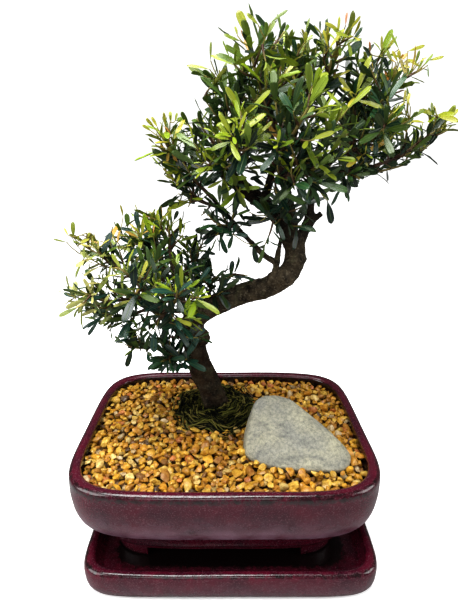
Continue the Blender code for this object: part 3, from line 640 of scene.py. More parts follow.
def makeStone(look):
    corners = [(x, y, look["footHeight"]) for x, y in look["foot"]]
    corners += [(x, y, look["girthHeight"]) for x, y in look["girth"]]
    bm = bmesh.new()
    for corner in (*corners, *look["crest"]):
        bm.verts.new(Vector(corner) * mm)
    hull = bmesh.ops.convex_hull(bm, input=bm.verts)
    inner = [item for item in hull["geom_interior"] if isinstance(item, bmesh.types.BMVert)]
    bmesh.ops.delete(bm, geom=inner, context="VERTS")
    piece = newPiece("riverStone", [], [])
    bm.to_mesh(piece.data)
    bm.free()
    crease = piece.data.attributes.new("crease_edge", "FLOAT", "EDGE")
    crease.data.foreach_set("value", [look["crispness"]] * len(piece.data.edges))
    rounding = piece.modifiers.new("rounding", "SUBSURF")
    rounding.levels = rounding.render_levels = 5
    settle(piece)
    drop = look["footHeight"] * mm - min(v.co.z for v in piece.data.vertices)
    for vertex in piece.data.vertices:
        vertex.co.z += drop
    roughen(piece, "stoneDents", look["dents"], (2.0, 4.0), 0.55, 0.68, makeStoneMaterial(look))
    handOver(piece, ["stone"])
    return piece


print("stone")
stonePiece = makeStone(stoneLook)


gravelLook = {
    "seed": 7,
    "pebbles": 2300,  # at most, in one layer
    "tries": 26,  # for each of them
    "length": (5.2, 10.6),  # of the longest side
    "width": (0.62, 0.96), "flatness": (0.45, 0.72),  # of its length
    "tilt": 0.28,
    "pileBefore": -18,  # the few on top lie in front of the stone
    "spacing": 0.67,  # of the sum of two pebbles' half lengths
    "cell": 10,  # pebbles further apart can't touch
    "lump": 1.1, "lumpScale": 0.9,
    "chip": 0.54,  # how far out the chipped faces lie, 1 for none
    "sharpAngle": 0.72,
    "shade": (0.80, 1.20),
    "darkBand": (0.45, 0.31, 0.16, 1), "lightBand": (1.0, 0.80, 0.35, 1),
    "brightTones": 70,  # this many of the hundred for the few on top
    "tones": (  # colour, how often
        ((0.74, 0.42, 0.035), 28), ((0.64, 0.32, 0.028), 22), ((0.84, 0.57, 0.10), 20), ((0.86, 0.68, 0.26), 10),
        ((0.46, 0.21, 0.025), 11), ((0.24, 0.11, 0.028), 5), ((0.60, 0.21, 0.05), 3), ((0.68, 0.57, 0.36), 3),
        ((0.10, 0.05, 0.035), 2),
    ),
}


def insideRounded(x, y, halfWidth, halfDepth, squareness):
    return (abs(x) / halfWidth) ** squareness + (abs(y) / halfDepth) ** squareness < 1


mossLook = {
    "centre": (-11.0, 29.0), "radius": 32.5, "height": 5.4, "foot": 70.5, "rings": 12, "around": 48,
    "seed": 23, "fibres": 1350, "steps": 8,
    "fibreRadius": (0.36, 0.78), "overhang": 1.3,
    "turn": (0.25, 1.1), "drift": (-5, 5),  # how far a strand runs round the trunk, and outwards
    "highShare": 0.35, "highLift": (-0.6, 5.5), "lowLift": (-0.5, 1.3), "ripple": (-0.25, 0.35),
    "bare": 8.5,  # no strand comes nearer to the trunk's middle
    "tones": ((0.007, 0.009, 0.003, 1), (0.003, 0.004, 0.002, 1), (0.02, 0.02, 0.008, 1)),
    "green": (0.150, 0.150, 0.032, 1), "straw": (0.22, 0.17, 0.06, 1),
}


def outsideMoss(x, y):
    return math.hypot(x - mossLook["centre"][0], y - mossLook["centre"][1]) - mossLook["radius"]


# Pebbles settle where there is room: each layer keeps its own spacing, and none lies in the stone or the moss.
def settlePebbles(look, stoneTree):
    draw = random.Random(look["seed"])
    (cx, cy), squareness = potShape["centre"], potShape["squareness"]
    halfX = potShape["width"] / 2 - bedLook["wallInset"]
    halfY = potShape["depth"] / 2 - bedLook["wallInset"]
    tones = [tone for tone, often in look["tones"] for _ in range(often)]
    least, most = look["length"]
    bed, top = bedLook["soilTop"], bedLook["gravelTop"]
    # lowest and highest middle, share of the number, reach from the stone, how close to it, tones
    layers = ((bed + 2.8, bed + 4.0, 0.8, None, 0.5, tones), (top - 2.2, top - 0.6, 1.0, None, 0.5, tones),
              (top + 1.4, top + 3.2, 0.02, 3.5, 0.3, tones[:look["brightTones"]]))
    pebbles = []
    for low, high, share, reach, closeness, ownTones in layers:
        cells, placed = {}, 0
        for _ in range(look["pebbles"] * look["tries"]):
            x, y = draw.uniform(-halfX, halfX), draw.uniform(-halfY, halfY)
            length = least + (most - least) * draw.random() ** 1.6  # small ones are commoner
            room = length * 0.5
            z = draw.uniform(low, high)
            if not insideRounded(x, y, halfX - room * 0.5, halfY - room * 0.5, squareness):
                continue
            x, y = x + cx, y + cy
            if outsideMoss(x, y) < room - 5:
                continue
            middle = Vector((x, y, z)) * mm
            spot, normal, _, away = stoneTree.find_nearest(middle)
            if away < room * closeness * mm or (middle - spot).dot(normal) < 0:
                continue
            if reach is not None and (away > reach * mm or y > look["pileBefore"]):
                continue
            cell = cellOf((x, y), look["cell"])
            near = heldNear(cells, cell)
            if any(math.hypot(x - px, y - py) < (room + pr) * look["spacing"] for px, py, pr in near):
                continue
            cells.setdefault(cell, []).append((x, y, room))
            sides = (length, length * draw.uniform(*look["width"]), length * draw.uniform(*look["flatness"]))
            turn = (draw.gauss(0, look["tilt"]), draw.gauss(0, look["tilt"]), draw.uniform(0, 2 * math.pi))
            tone, shift, shade = draw.choice(ownTones), draw.uniform(0, 100), draw.uniform(*look["shade"])
            pebbles.append({"middle": (x * mm, y * mm, z * mm), "turn": turn, "size": [s / 2 * mm for s in sides],
                            "tone": [c * shade for c in tone], "draw": shift})
            placed += 1
            if placed > look["pebbles"] * share:
                break
    return pebbles


# Each point grows a lumpy ball with chipped faces, stretched to its size and turned.
def makePebbleTree(material, sizes):
    tree, given = startTree("pebbles", sizes)
    ball = add(tree, "GeometryNodeMeshIcoSphere", {"Radius": 1.0, "Subdivisions": 2}).outputs["Mesh"]
    local = add(tree, "GeometryNodeInputPosition").outputs[0]
    template = store(tree, ball, "local", local, "FLOAT_VECTOR")
    real = grownOn(tree, given["Geometry"], template)
    form = attributeOf(tree, "local", "FLOAT_VECTOR")
    shift = attributeOf(tree, "draw")
    lumps = add(tree, "ShaderNodeTexNoise", {
        "Vector": form, "W": shift, "Scale": given["Lump Scale"], "Detail": 1.5}, noise_dimensions="4D")
    swell = calc(tree, "SUBTRACT", lumps.outputs["Fac"], 0.5)
    swell = calc(tree, "MULTIPLY_ADD", swell, given["Lump"], 1.0)
    lumpy = vectorCalc(tree, "SCALE", form, scale=calc(tree, "MINIMUM", swell, 1.15))
    for chip in range(7):  # whatever stands past a random plane is pressed flat onto it
        dice = add(tree, "ShaderNodeTexWhiteNoise", {
            "W": calc(tree, "ADD", shift, 13.7 * chip)}, noise_dimensions="1D").outputs["Color"]
        facing = vectorCalc(tree, "NORMALIZE", vectorCalc(tree, "SUBTRACT", dice, (0.5, 0.5, 0.5)))
        past = calc(tree, "SUBTRACT", vectorCalc(tree, "DOT_PRODUCT", lumpy, facing), given["Chip"])
        pressed = vectorCalc(tree, "SCALE", facing, scale=calc(tree, "MAXIMUM", past, 0.0))
        lumpy = vectorCalc(tree, "SUBTRACT", lumpy, pressed)
    sized = vectorCalc(tree, "MULTIPLY", lumpy, attributeOf(tree, "size", "FLOAT_VECTOR"))
    euler = add(tree, "FunctionNodeEulerToRotation", {0: attributeOf(tree, "turn", "FLOAT_VECTOR")}).outputs[0]
    turned = add(tree, "FunctionNodeRotateVector", {"Vector": sized, "Rotation": euler}).outputs[0]
    place = vectorCalc(tree, "ADD", turned, attributeOf(tree, "middle", "FLOAT_VECTOR"))
    smooth = smoothed(tree, movedBy(tree, real, "Position", place))
    bend = add(tree, "GeometryNodeInputMeshEdgeAngle").outputs[0]
    endTree(tree, sharpened(tree, smooth, calc(tree, "GREATER_THAN", bend, given["Sharp Angle"])), material)
    return tree


def makePebbleMaterial(look):
    values = {"Coat Weight": 0.15, "Coat Roughness": 0.12, "Specular IOR Level": 0.35}
    material, tree, inputs = startMaterial("polishedPebble", values)
    tint = painted(tree, "tone", "Color")
    bands = noiseOf(tree, placeOf(tree), 420.0, 4.0, 0.6)
    dark, light = darkened(tree, tint, look["darkBand"]), blendOf(tree, 0.08, tint, look["lightBand"])
    colour = turning(tree, dark, bands, 0.30, 0.72, light)
    mottle = placeGroup(tree, mottleGroup, {"Blotch Scale": 300.0, "Speckle Scale": 1600.0})
    tree.links.new(rampOf(tree, mottle["Height"], -1.2, 3.2), inputs["Roughness"])
    finishWith(tree, inputs, colour, mottle["Height"], 0.3, 0.0003)
    return material


def makeGravel(look, stone):
    mesh = stone.data
    stoneTree = BVHTree.FromPolygons([v.co for v in mesh.vertices], [p.vertices for p in mesh.polygons])
    pebbles = settlePebbles(look, stoneTree)
    piece = newPiece("looseGravel", [(0, 0, 0)] * len(pebbles), [])
    for label in ("middle", "turn", "size", "tone", "draw"):
        setAttribute(piece.data, label, [pebble[label] for pebble in pebbles])
    sizes = {"Lump": look["lump"], "Lump Scale": look["lumpScale"], "Chip": look["chip"],
             "Sharp Angle": look["sharpAngle"]}
    runTree(piece, makePebbleTree(makePebbleMaterial(look), sizes), sizes)
    removeAttributes(piece.data, ("middle", "turn", "size", "draw", "local"))
    handOver(piece, ["gravel"])
    print("  pebbles:", len(pebbles))


print("gravel")
makeGravel(gravelLook, stonePiece)


# Each limb: radius at its start, radius at its end, points on its centreline.
limbs = {
    "trunk": (9.6, 6.8, (
        (-9, 33, 60), (-12, 33, 79), (-18, 32, 100), (-25, 31, 121), (-28, 30, 138), (-27, 29, 152),
        (-19, 27, 161), (-4, 24, 170), (11, 21, 177), (24, 19, 181), (36, 17, 188), (43, 15, 198),
        (44, 15, 210), (41, 15, 219))),
    "leftLimb": (6.6, 3.6, (
        (42, 15, 214), (36, 12, 227), (27, 7, 237), (18, 2, 244), (9, -3, 251), (1, -8, 257), (-6, -13, 263))),
    "leader": (4.6, 1.7, (
        (42, 15, 214), (41, 20, 230), (38, 26, 247), (36, 30, 266), (38, 32, 285), (40, 30, 301))),
    "rightLimb": (4.4, 1.7, (
        (45, 16, 208), (50, 20, 221), (54, 23, 229), (54, 26, 242), (59, 28, 256), (69, 30, 269), (80, 30, 279))),
    "prunedStub": (2.6, 2.0, ((52, 21, 223), (57, 23, 229), (62, 24, 233))),
    "spur": (2.4, 1.2, ((31, 14, 195), (32, 8, 211), (33, 0, 223))),
    "underLimb": (2.4, 1.3, ((33, 14, 200), (22, 15, 207), (7, 16, 222), (-3, 16, 234), (-12, 15, 244))),
    "frontLimb": (3.0, 1.6, ((20, 2, 242), (22, -15, 255), (22, -32, 266))),
    "backLimb": (2.8, 1.5, ((38, 26, 247), (35, 48, 263), (37, 62, 286))),
    "lowRightLimb": (2.6, 1.4, ((59, 28, 256), (78, 34, 261), (99, 38, 263))),
    "lowLeftLimb": (4.0, 1.5, ((-28, 30, 130), (-41, 20, 152), (-51, 12, 171), (-60, 5, 188))),
    "lowUpLimb": (3.6, 1.5, ((-28, 29, 143), (-34, 25, 166), (-38, 18, 187), (-41, 12, 205))),
    "lowFrontLimb": (2.4, 1.4, ((-41, 20, 152), (-47, 0, 166), (-53, -15, 181))),
    "lowHangingLimb": (3.4, 1.4, ((-26, 31, 118), (-45, 24, 128), (-56, 17, 136))),
}

woodLook = {
    "voxel": 0.62, "sides": 16, "ringStep": 3.0,
    "swellings": (  # knots and old pruning scars: place, radius
        ((-22, 28, 139), 7.4), ((-23, 31, 112), 10.0), ((-17, 32, 97), 10.4), ((-21, 33, 104), 10.2),
        ((-14, 33, 87), 10.6), ((-31, 27, 150), 7.4), ((-27, 26, 127), 8.2), ((20, 17, 183), 6.0),
        ((38, 12, 192), 7.6), ((44, 12, 204), 7.6), ((-14, 25, 163), 6.6), ((31, 15, 188), 6.8),
        ((-6, 30, 80), 6.0), ((-17, 28, 81), 6.5), ((-14, 40, 80), 6.0),
    ),
    "ridges": {"Ridge Depth": 2.2 * mm, "Ridge Scale": 95.0, "Flake Depth": 1.1 * mm, "Flake Scale": 420.0},
    "tones": ((0.125, 0.098, 0.062, 1), (0.014, 0.011, 0.008, 1), (0.30, 0.25, 0.17, 1)),
    "rust": (0.085, 0.033, 0.012, 1), "lichen": (0.17, 0.17, 0.09, 1), "dusk": (0.20, 0.18, 0.155, 1),
}


def limbPoints(name):
    return [Vector(p) for p in limbs[name][2]]


def makeBarkMaterial(look):
    material, tree, inputs = startMaterial("flakyBark", {"Roughness": 0.8, "Specular IOR Level": 0.18})
    place = placeOf(tree)
    mottle = mottleOf(tree, look["tones"], 140.0, 620.0, 0.45)
    height = partsOf(tree, place)["Z"]
    # The bark is darker towards the foot of the trunk, and painted shade darkens it high up where the two heads shade
    # it; both take the dusk tone.
    low = product(tree, rampOf(tree, height, 0.16, 0.13), 0.7)
    shaded = calc(tree, "MAXIMUM", low, rampOf(tree, height, 0.196, 0.224))  # in the shade of the two heads
    rusty = product(tree, low, rampOf(tree, noiseOf(tree, place, 120.0, 4.0), 0.4, 0.6), 0.6)
    colour = blendOf(tree, rusty, mottle["Color"], look["rust"])
    lichen = rampOf(tree, noiseOf(tree, place, 75.0, 5.0, 0.6), 0.56, 0.68)
    colour = blendOf(tree, product(tree, lichen, 0.45), colour, look["lichen"])
    # The dusk tone darkens the bark where the shaded mask is up: painted shade under the heads, and the darker foot
    # of the trunk.
    colour = blendOf(tree, shaded, colour, darkened(tree, colour, look["dusk"]))
    cracks = noiseOf(tree, place, 340.0, 5.0, 0.7)
    finishWith(tree, inputs, colour, calc(tree, "MULTIPLY_ADD", cracks, 1.5, mottle["Height"]), 0.9, 0.0013)
    return material


# Tubes along the limbs, melted into one skin, then roughened by ridges and flakes.
def makeWood(look):
    points, faces = [], []
    for name, (start, end, _) in limbs.items():
        line = evenLine(limbPoints(name), look["ringStep"])
        last = len(line) - 1
        radii = [start + (end - start) * (k / last) for k in range(last + 1)]
        addTube(points, faces, line, radii, look["sides"])
    for place, radius in look["swellings"]:
        line = [Vector(place) + Vector((0, 0, radius * s)) for s in (-0.96, -0.7, 0, 0.7, 0.96)]
        addTube(points, faces, line, [radius * s for s in (0.28, 0.71, 1.0, 0.71, 0.28)], look["sides"])
    piece = newPiece("wood", points, faces)
    melt = piece.modifiers.new("melt", "REMESH")
    melt.mode = "VOXEL"
    melt.voxel_size = look["voxel"] * mm
    relax = piece.modifiers.new("relax", "SMOOTH")
    relax.factor = 0.5
    relax.iterations = 6
    settle(piece)
    roughen(piece, "barkRidges", look["ridges"], (3.0, 3.0), 0.6, 0.5, makeBarkMaterial(look))
    handOver(piece, ["trunk"])


def sideOf(direction, turn):
    up = Vector((0, 0, 1)) if abs(direction.z) < 0.95 else Vector((0, -1, 0))
    across = direction.cross(up).normalized()
    upward = across.cross(direction).normalized()
    return upward * math.cos(turn) + across * math.sin(turn)


def addTube(points, faces, line, radii, sides):
    base, last = len(points), len(line) - 1
    across = sideOf((line[1] - line[0]).normalized(), 0.0)
    turns = [2 * math.pi * j / sides for j in range(sides)]
    for k, point in enumerate(line):
        ahead = (line[min(k + 1, last)] - line[max(k - 1, 0)]).normalized()
        across = (across - ahead * across.dot(ahead)).normalized()
        square = ahead.cross(across)
        points += [point + (across * math.cos(a) + square * math.sin(a)) * radii[k] for a in turns]
    faces.extend(tuple(base + k for k in face) for face in loftFaces(len(line), sides))


print("wood")
makeWood(woodLook)


# Each spray: limb, share along it, points on the way, tip, young growth at its end from 0 to 1.
sprays = {
    "farLeft": ("underLimb", 1.0, ((-26, 10, 259), (-36, 5, 272)), (-47, 0, 291), 1.0),
    "leftLow": ("underLimb", 0.84, ((-23, 19, 243), (-35, 21, 253)), (-52, 21, 271), 0.5),
    "under": ("underLimb", 0.55, ((-7, 6, 228),), (-13, -4, 231), 0.0),
    "leftHigh": ("leftLimb", 1.0, ((2, -18, 282), (1, -16, 298)), (-11, -10, 318), 0.7),
    "topLeft": ("leader", 0.7, ((20, -12, 294), (14, -22, 308)), (5, -26, 335), 1.0),
    "topMidLeft": ("leader", 0.84, ((31, 8, 306),), (22, 4, 334), 0.8),
    "topMid": ("leader", 1.0, ((41, 26, 317),), (44, 22, 339), 1.0),
    "topRight": ("leader", 0.93, ((56, 18, 313),), (65, 8, 342), 1.0),
    "rightTop": ("rightLimb", 1.0, ((85, 30, 301),), (91, 25, 331), 0.8),
    "rightHigh": ("rightLimb", 0.93, ((87, 16, 292),), (98, 5, 322), 1.0),
    "rightMid": ("rightLimb", 0.8, ((83, 4, 278),), (101, -14, 299), 1.0),
    "farRight": ("lowRightLimb", 1.0, ((115, 36, 270),), (147, 24, 296), 1.0),
    "rightLow": ("lowRightLimb", 0.45, ((96, 51, 257), (121, 53, 262)), (139, 52, 272), 0.2),
    "rightDroop": ("lowRightLimb", 0.3, ((78, 14, 259),), (86, -2, 252), 0.0),
    "frontBright": ("frontLimb", 1.0, ((28, -45, 277),), (40, -62, 302), 1.0),
    "frontRight": ("frontLimb", 0.85, ((42, -36, 271),), (57, -50, 296), 1.0),
    "frontLeft": ("leftLimb", 0.82, ((2, -33, 271),), (4, -56, 290), 1.0),
    "frontLowLeft": ("leftLimb", 0.93, ((-6, -32, 266),), (-15, -44, 272), 0.9),
    "frontMid": ("frontLimb", 0.6, ((36, -44, 262),), (50, -60, 271), 0.2),
    "frontLow": ("leftLimb", 0.25, ((34, -5, 239),), (25, -21, 246), 0.0),
    "backLeft": ("backLimb", 0.75, ((22, 70, 294),), (4, 82, 318), 0.4),
    "backTop": ("backLimb", 1.0, ((45, 77, 310),), (53, 85, 335), 0.6),
    "backRight": ("rightLimb", 0.88, ((86, 56, 293),), (105, 76, 315), 0.5),
    "leftMid": ("leftLimb", 0.9, ((-10, 4, 278),), (-22, 12, 296), 0.7),
    "lowLeftUp": ("lowLeftLimb", 1.0, ((-78, 1, 204),), (-104, -3, 224), 1.0),
    "lowLeft": ("lowLeftLimb", 0.85, ((-80, -6, 180),), (-107, -14, 194), 1.0),
    "lowLeftDroop": ("lowLeftLimb", 0.66, ((-71, 7, 165), (-86, 7, 162)), (-101, 6, 158), 0.3),
    "lowTopLeft": ("lowUpLimb", 0.78, ((-53, 15, 203),), (-67, 12, 232), 1.0),
    "lowTop": ("lowUpLimb", 1.0, ((-41, 15, 221),), (-39, 16, 237), 1.0),
    "lowTopRight": ("lowUpLimb", 0.66, ((-27, 28, 195), (-22, 31, 207)), (-16, 33, 219), 0.7),
    "lowFront": ("lowFrontLimb", 1.0, ((-54, -29, 199),), (-51, -38, 215), 1.0),
    "lowFrontRight": ("lowFrontLimb", 0.55, ((-38, -19, 180),), (-22, -38, 207), 1.0),
    "lowHanging": ("lowHangingLimb", 1.0, ((-65, 9, 139),), (-76, 0, 143), 0.1),
    "lowRightTwig": ("trunk", 0.48, ((-14, 22, 183),), (-2, 17, 198), 0.1),
    "lowBack": ("lowUpLimb", 0.45, ((-50, 50, 174),), (-68, 74, 190), 0.3),
    "lowTrunk": ("lowHangingLimb", 0.45, ((-42, 4, 136),), (-44, -12, 132), 0.0),
}

# Shoots that stand out: tip, how fresh they are from 0 to 1, length of their leaves.
standoutShoots = (
    ((-14, -22, 312), 0.50, 21), ((-19, -20, 317), 0.45, 20), ((7, -28, 333), 0.62, 22), ((16, -40, 321), 0.50, 21),
    ((63, 2, 343), 1.0, 13), ((70, -6, 339), 0.70, 17), ((95, 10, 334), 0.80, 17), ((114, -2, 322), 0.85, 18),
    ((102, 6, 322), 0.90, 13), ((130, 8, 296), 0.80, 16), ((78, 2, 310), 0.80, 21), ((38, -62, 306), 0.75, 24),
    ((4, -44, 295), 0.80, 20), ((11, -58, 283), 0.75, 19), ((-3, -58, 284), 0.80, 18), ((-46, 0, 290), 0.80, 16),
    ((-46, -4, 276), 0.90, 13), ((-13, -42, 273), 0.90, 14), ((30, -60, 267), 0.75, 18), ((95, -20, 297), 0.85, 15),
    ((30, -2, 343), 0.40, 19), ((42, -6, 337), 0.60, 15), ((57, 0, 337), 0.75, 15), ((88, -30, 285), 0.20, 17),
    ((-94, -10, 224), 0.90, 13), ((-103, -12, 218), 0.70, 13), ((-97, -24, 190), 0.70, 16),
    ((-101, -26, 183), 0.35, 20), ((-73, 24, 232), 0.95, 12), ((-34, -2, 241), 0.75, 16), ((-51, 2, 234), 0.50, 15),
    ((-23, -44, 194), 0.70, 18), ((-28, -40, 179), 0.80, 17), ((-40, -46, 202), 0.90, 12),
    ((-72, -36, 210), 0.95, 12), ((5, 14, 194), 0.10, 17), ((-71, -2, 141), 0.0, 19), ((-49, -10, 136), 0.0, 19),
    ((-37, -10, 139), 0.0, 19), ((-29, -8, 154), 0.0, 17), ((-61, -8, 159), 0.0, 18), ((21, -10, 219), 0.10, 15),
    ((-55, -10, 137), 0.0, 17), ((-45, 6, 140), 0.0, 18),
)

# Single leaves that stand out: root, tip, age from 0 to 1, width, tint.
outlineLeaves = (
    ((8, -24, 328), (4, -22, 340), 0.6, 1.5, 0.3), ((13, -36, 330), (7, -37, 335), 0.5, 1.3, 0.3),
    ((18, -35, 331), (26, -36, 337), 0.4, 0.7, 0.6), ((16, -18, 313), (15, -16, 335), 0.2, 0.85, 0.9),
    ((5, -23, 326), (-4, -26, 328), 0.45, 1.1, 0.5), ((3, -24, 328), (2, -23, 333), 0.6, 1.2, 0.3),
    ((8, -24, 318), (-4, -26, 323), 0.36, 1, 0.6), ((6, -27, 314), (-7, -30, 320), 0.34, 0.95, 0.7),
    ((-11, -16, 318), (-11, -18, 327), 0.45, 0.6, 0.4), ((-11, -17, 314), (-23, -20, 317), 0.6, 0.8, 0.35),
    ((-4, -13, 306), (-23, -14, 316), 0.3, 0.75, 0.9), ((-6, -14, 310), (-3, -13, 319), 0.45, 0.7, 0.3),
    ((1, -16, 302), (-1, -18, 313), 0.25, 1.2, 0.9), ((9, -25, 313), (1, -24, 313), 0.34, 1.1, 0.8),
    ((32, 27, 332), (31, 29, 343), 0.75, 1.3, 0.6), ((41, -2, 328), (40, -5, 334), 0.6, 1.3, 0.3),
    ((40, -4, 334), (43, -2, 341), 0.4, 0.7, 0.5), ((54, 20, 338), (49, 18, 342), 0.6, 0.9, 0.3),
    ((35, -55, 293), (43, -58, 306), 0.75, 1.15, 0.75), ((37, -55, 299), (40, -57, 309), 0.75, 1.2, 0.75),
    ((63, 1, 338), (63, 2, 348), 0.9, 0.8, 0.97), ((64, -5, 335), (69, -6, 341), 0.7, 0.9, 0.25),
    ((61, 3, 336), (52, 1, 340), 0.7, 0.9, 0.25), ((55, 3, 327), (51, 4, 337), 0.8, 0.9, 0.1),
    ((67, 1, 330), (72, -1, 337), 0.1, 1, 0.6), ((89, 13, 326), (85, 10, 335), 0.8, 1.1, 0.2),
    ((82, 15, 327), (81, 13, 333), 0.9, 0.9, 0.97), ((97, 9, 328), (91, 11, 337), 0.45, 0.6, 0.5),
    ((99, 2, 326), (109, 4, 329), 0.75, 0.8, 0.3), ((93, 11, 325), (91, 12, 330), 0.45, 0.8, 0.5),
    ((110, -1, 321), (118, -3, 322), 0.8, 0.9, 0.3), ((104, 1, 319), (105, -1, 326), 0.45, 1, 0.4),
    ((110, -2, 319), (110, -5, 312), 0.3, 0.5, 0.3), ((105, -1, 320), (108, -4, 322), 0.9, 1.2, 0.1),
    ((54, -47, 293), (45, -49, 300), 0.75, 0.8, 0.6), ((56, -47, 293), (66, -49, 303), 0.75, 0.8, 0.6),
    ((99, -14, 296), (94, -16, 302), 0.8, 1.2, 0.1), ((122, 9, 292), (119, 7, 300), 0.45, 1.2, 0.3),
    ((137, 27, 289), (144, 26, 299), 0.7, 1, 0.3), ((-98, -7, 222), (-97, -8, 232), 0.5, 1.2, 0.4),
    ((-101, -10, 220), (-109, -12, 222), 0.5, 0.6, 0.4), ((-99, -12, 224), (-102, -10, 229), 0.75, 0.9, 0.2),
    ((-95, -8, 220), (-94, -10, 224), 0.75, 1.4, 0.5), ((-91, 0, 214), (-91, -2, 224), 0.8, 0.8, 0.3),
    ((-90, 0, 214), (-87, -2, 223), 0.85, 0.9, 0.2), ((-84, -5, 212), (-84, -4, 220), 0.8, 0.9, 0.2),
    ((-83, -4, 210), (-75, -5, 225), 0, 1.1, 0.35), ((-86, -11, 211), (-96, -14, 205), 0.75, 1.2, 0.15),
    ((-101, -16, 189), (-102, -17, 201), 0.5, 0.6, 0.4), ((-99, -15, 185), (-98, -14, 196), 0.75, 1.6, 0.7),
    ((-103, -15, 188), (-109, -17, 191), 0.5, 0.3, 0.4), ((-62, 15, 224), (-62, 13, 236), 0, 1.5, 0.4),
    ((-73, 23, 230), (-73, 22, 239), 0.8, 0.7, 0.85), ((-64, 12, 223), (-72, 9, 225), 0, 1.3, 0.3),
    ((-64, 14, 213), (-74, 13, 218), 0, 0.9, 0.4), ((-71, -2, 206), (-58, -3, 215), 0, 1.2, 0.5),
    ((-56, 14, 210), (-47, 16, 222), 0, 1.1, 0.4), ((-42, 13, 211), (-36, 15, 222), 0, 1.3, 0.4),
    ((-55, 16, 228), (-56, 13, 233), 0.7, 1.8, 0.7), ((-41, 15, 228), (-40, 17, 238), 0.6, 1.4, 0.5),
    ((-38, 15, 229), (-34, 14, 236), 0, 1.4, 0.05), ((-95, -23, 182), (-106, -26, 177), 0.45, 1.1, 0.6),
    ((-70, 10, 140), (-77, 9, 123), 0, 1, 0.45), ((-91, 5, 162), (-101, 4, 151), 0, 0.8, 0.3),
    ((-94, 6, 162), (-104, 5, 156), 0, 0.8, 0.3), ((-67, -3, 153), (-79, -2, 149), 0, 0.6, 0.3),
    ((-51, -5, 159), (-53, -6, 143), 0, 1.6, 0.5), ((-24, -30, 192), (-28, -32, 180), 0.8, 1.4, 0.78),
    ((-32, -37, 179), (-23, -36, 176), 0.8, 1.3, 0.3), ((-49, 5, 135), (-36, 6, 124), 0, 1.2, 0.1),
    ((0, 26, 188), (2, 24, 199), 0, 1.4, 0.4), ((2, 25, 187), (11, 22, 189), 0, 1.3, 0.4),
    ((-9, 14, 178), (1, 13, 168), 0, 1.5, 0.2), ((-25, 29, 197), (-11, 26, 188), 0, 0.9, 0.2),
    ((113, 53, 261), (114, 52, 252), 0, 1, 0.1), ((53, -31, 248), (57, -30, 234), 0, 1.3, 0.2),
    ((78, 15, 260), (81, 12, 251), 0, 1.1, 0.1), ((14, -3, 217), (17, -1, 205), 0, 1.3, 0.2),
    ((96, 6, 321), (92, 7, 327), 0.85, 1.7, 0.1), ((97, 6, 322), (95, 5, 327), 0.8, 1.8, 0.1),
    ((98, 6, 322), (101, 7, 326), 0.85, 1.7, 0.88), ((99, 6, 321), (105, 8, 323), 0.85, 1.7, 0.1),
    ((98, 6, 320), (102, 3, 318), 0.8, 1.8, 0.1), ((97, 7, 320), (94, 8, 318), 0.85, 1.8, 0.88),
    ((97, 6, 319), (97, 3, 315), 0.8, 1.7, 0.1), ((95, 6, 321), (91, 4, 322), 0.85, 1.7, 0.88),
    ((100, 6, 322), (108, 8, 322), 0.8, 1.5, 0.2), ((97, 6, 323), (98, 4, 325), 0.9, 2, 0.9),
    ((101, 5, 322), (107, 2, 319), 0.7, 1, 0.2), ((-45, 2, 286), (-50, 0, 291), 0.8, 1.2, 0.2),
    ((-43, -1, 286), (-46, 0, 292), 0.8, 1.2, 0.2), ((-47, 2, 284), (-52, 1, 288), 0.7, 1.2, 0.3),
    ((-35, 0, 289), (-36, 2, 295), 0.6, 1.5, 0.4), ((-33, 0, 289), (-31, -1, 294), 0.6, 1.3, 0.4),
    ((-70, 21, 223), (-70, 23, 233), 0.3, 1.6, 0.4), ((93, -19, 297), (93, -20, 304), 0.8, 1.2, 0.1),
    ((95, -19, 297), (96, -18, 303), 0.8, 1.2, 0.1), ((93, 6, 321), (88, 3, 326), 0.6, 1.3, 0.5),
    ((18, -17, 243), (11, -15, 244), 0, 1.2, 0.1), ((11, -17, 239), (8, -18, 244), 0, 1, 0.1),
    ((18, -17, 234), (12, -18, 238), 0, 1.2, 0.1), ((10, 16, 228), (6, 13, 235), 0, 1.2, 0.1),
    ((18, -19, 260), (11, -18, 258), 0, 1.4, 0.3), ((20, -18, 254), (13, -21, 259), 0, 1.4, 0.2),
    ((21, -27, 253), (14, -29, 254), 0, 1.3, 0.2), ((92, 8, 317), (88, 7, 324), 0, 1.4, 0.3),
    ((93, 21, 320), (98, 23, 325), 0.2, 1.4, 0.4), ((99, 1, 310), (105, 3, 309), 0.1, 1.5, 0.3),
    ((97, 2, 312), (100, 1, 315), 0.2, 1.3, 0.4), ((70, 13, 324), (74, 11, 319), 0, 1.2, 0.4),
)

cameraPlace = (-2.6, -280.0, 275.6)

# Sky between the leaves from the front: x and z on the plane y = 0, radius.
openSky = (
    (113, 262, 6.7), (87, 252, 7.0), (102, 259, 5.7), (125, 274, 6.8), (-19, 307, 5.4), (-24, 237, 4.8),
    (-63, 137, 5.1), (22, 227, 5.0), (-77, 142, 4.9), (79, 246, 5.3), (-44, 261, 3.5), (-104, 212, 6.0),
    (-24, 296, 5.0), (-83, 227, 5.5), (-7, 206, 4.6), (-37, 250, 3.6), (-48, 246, 5.8), (-91, 154, 5.0),
    (-99, 189, 2.9), (124, 301, 5.6), (118, 315, 6.3), (-21, 231, 2.8), (-93, 228, 4.4), (110, 303, 6.6),
    (-27, 225, 2.8), (14, 198, 3.7), (129, 280, 4.5), (55, 218, 4.5), (36, 343, 4.8), (-50, 240, 2.8),
    (11, 202, 3.7), (-86, 140, 7.6), (-9, 201, 2.9), (-19, 325, 5.3), (-67, 131, 4.5), (77, 335, 4.1),
    (-50, 249, 4.6),
)

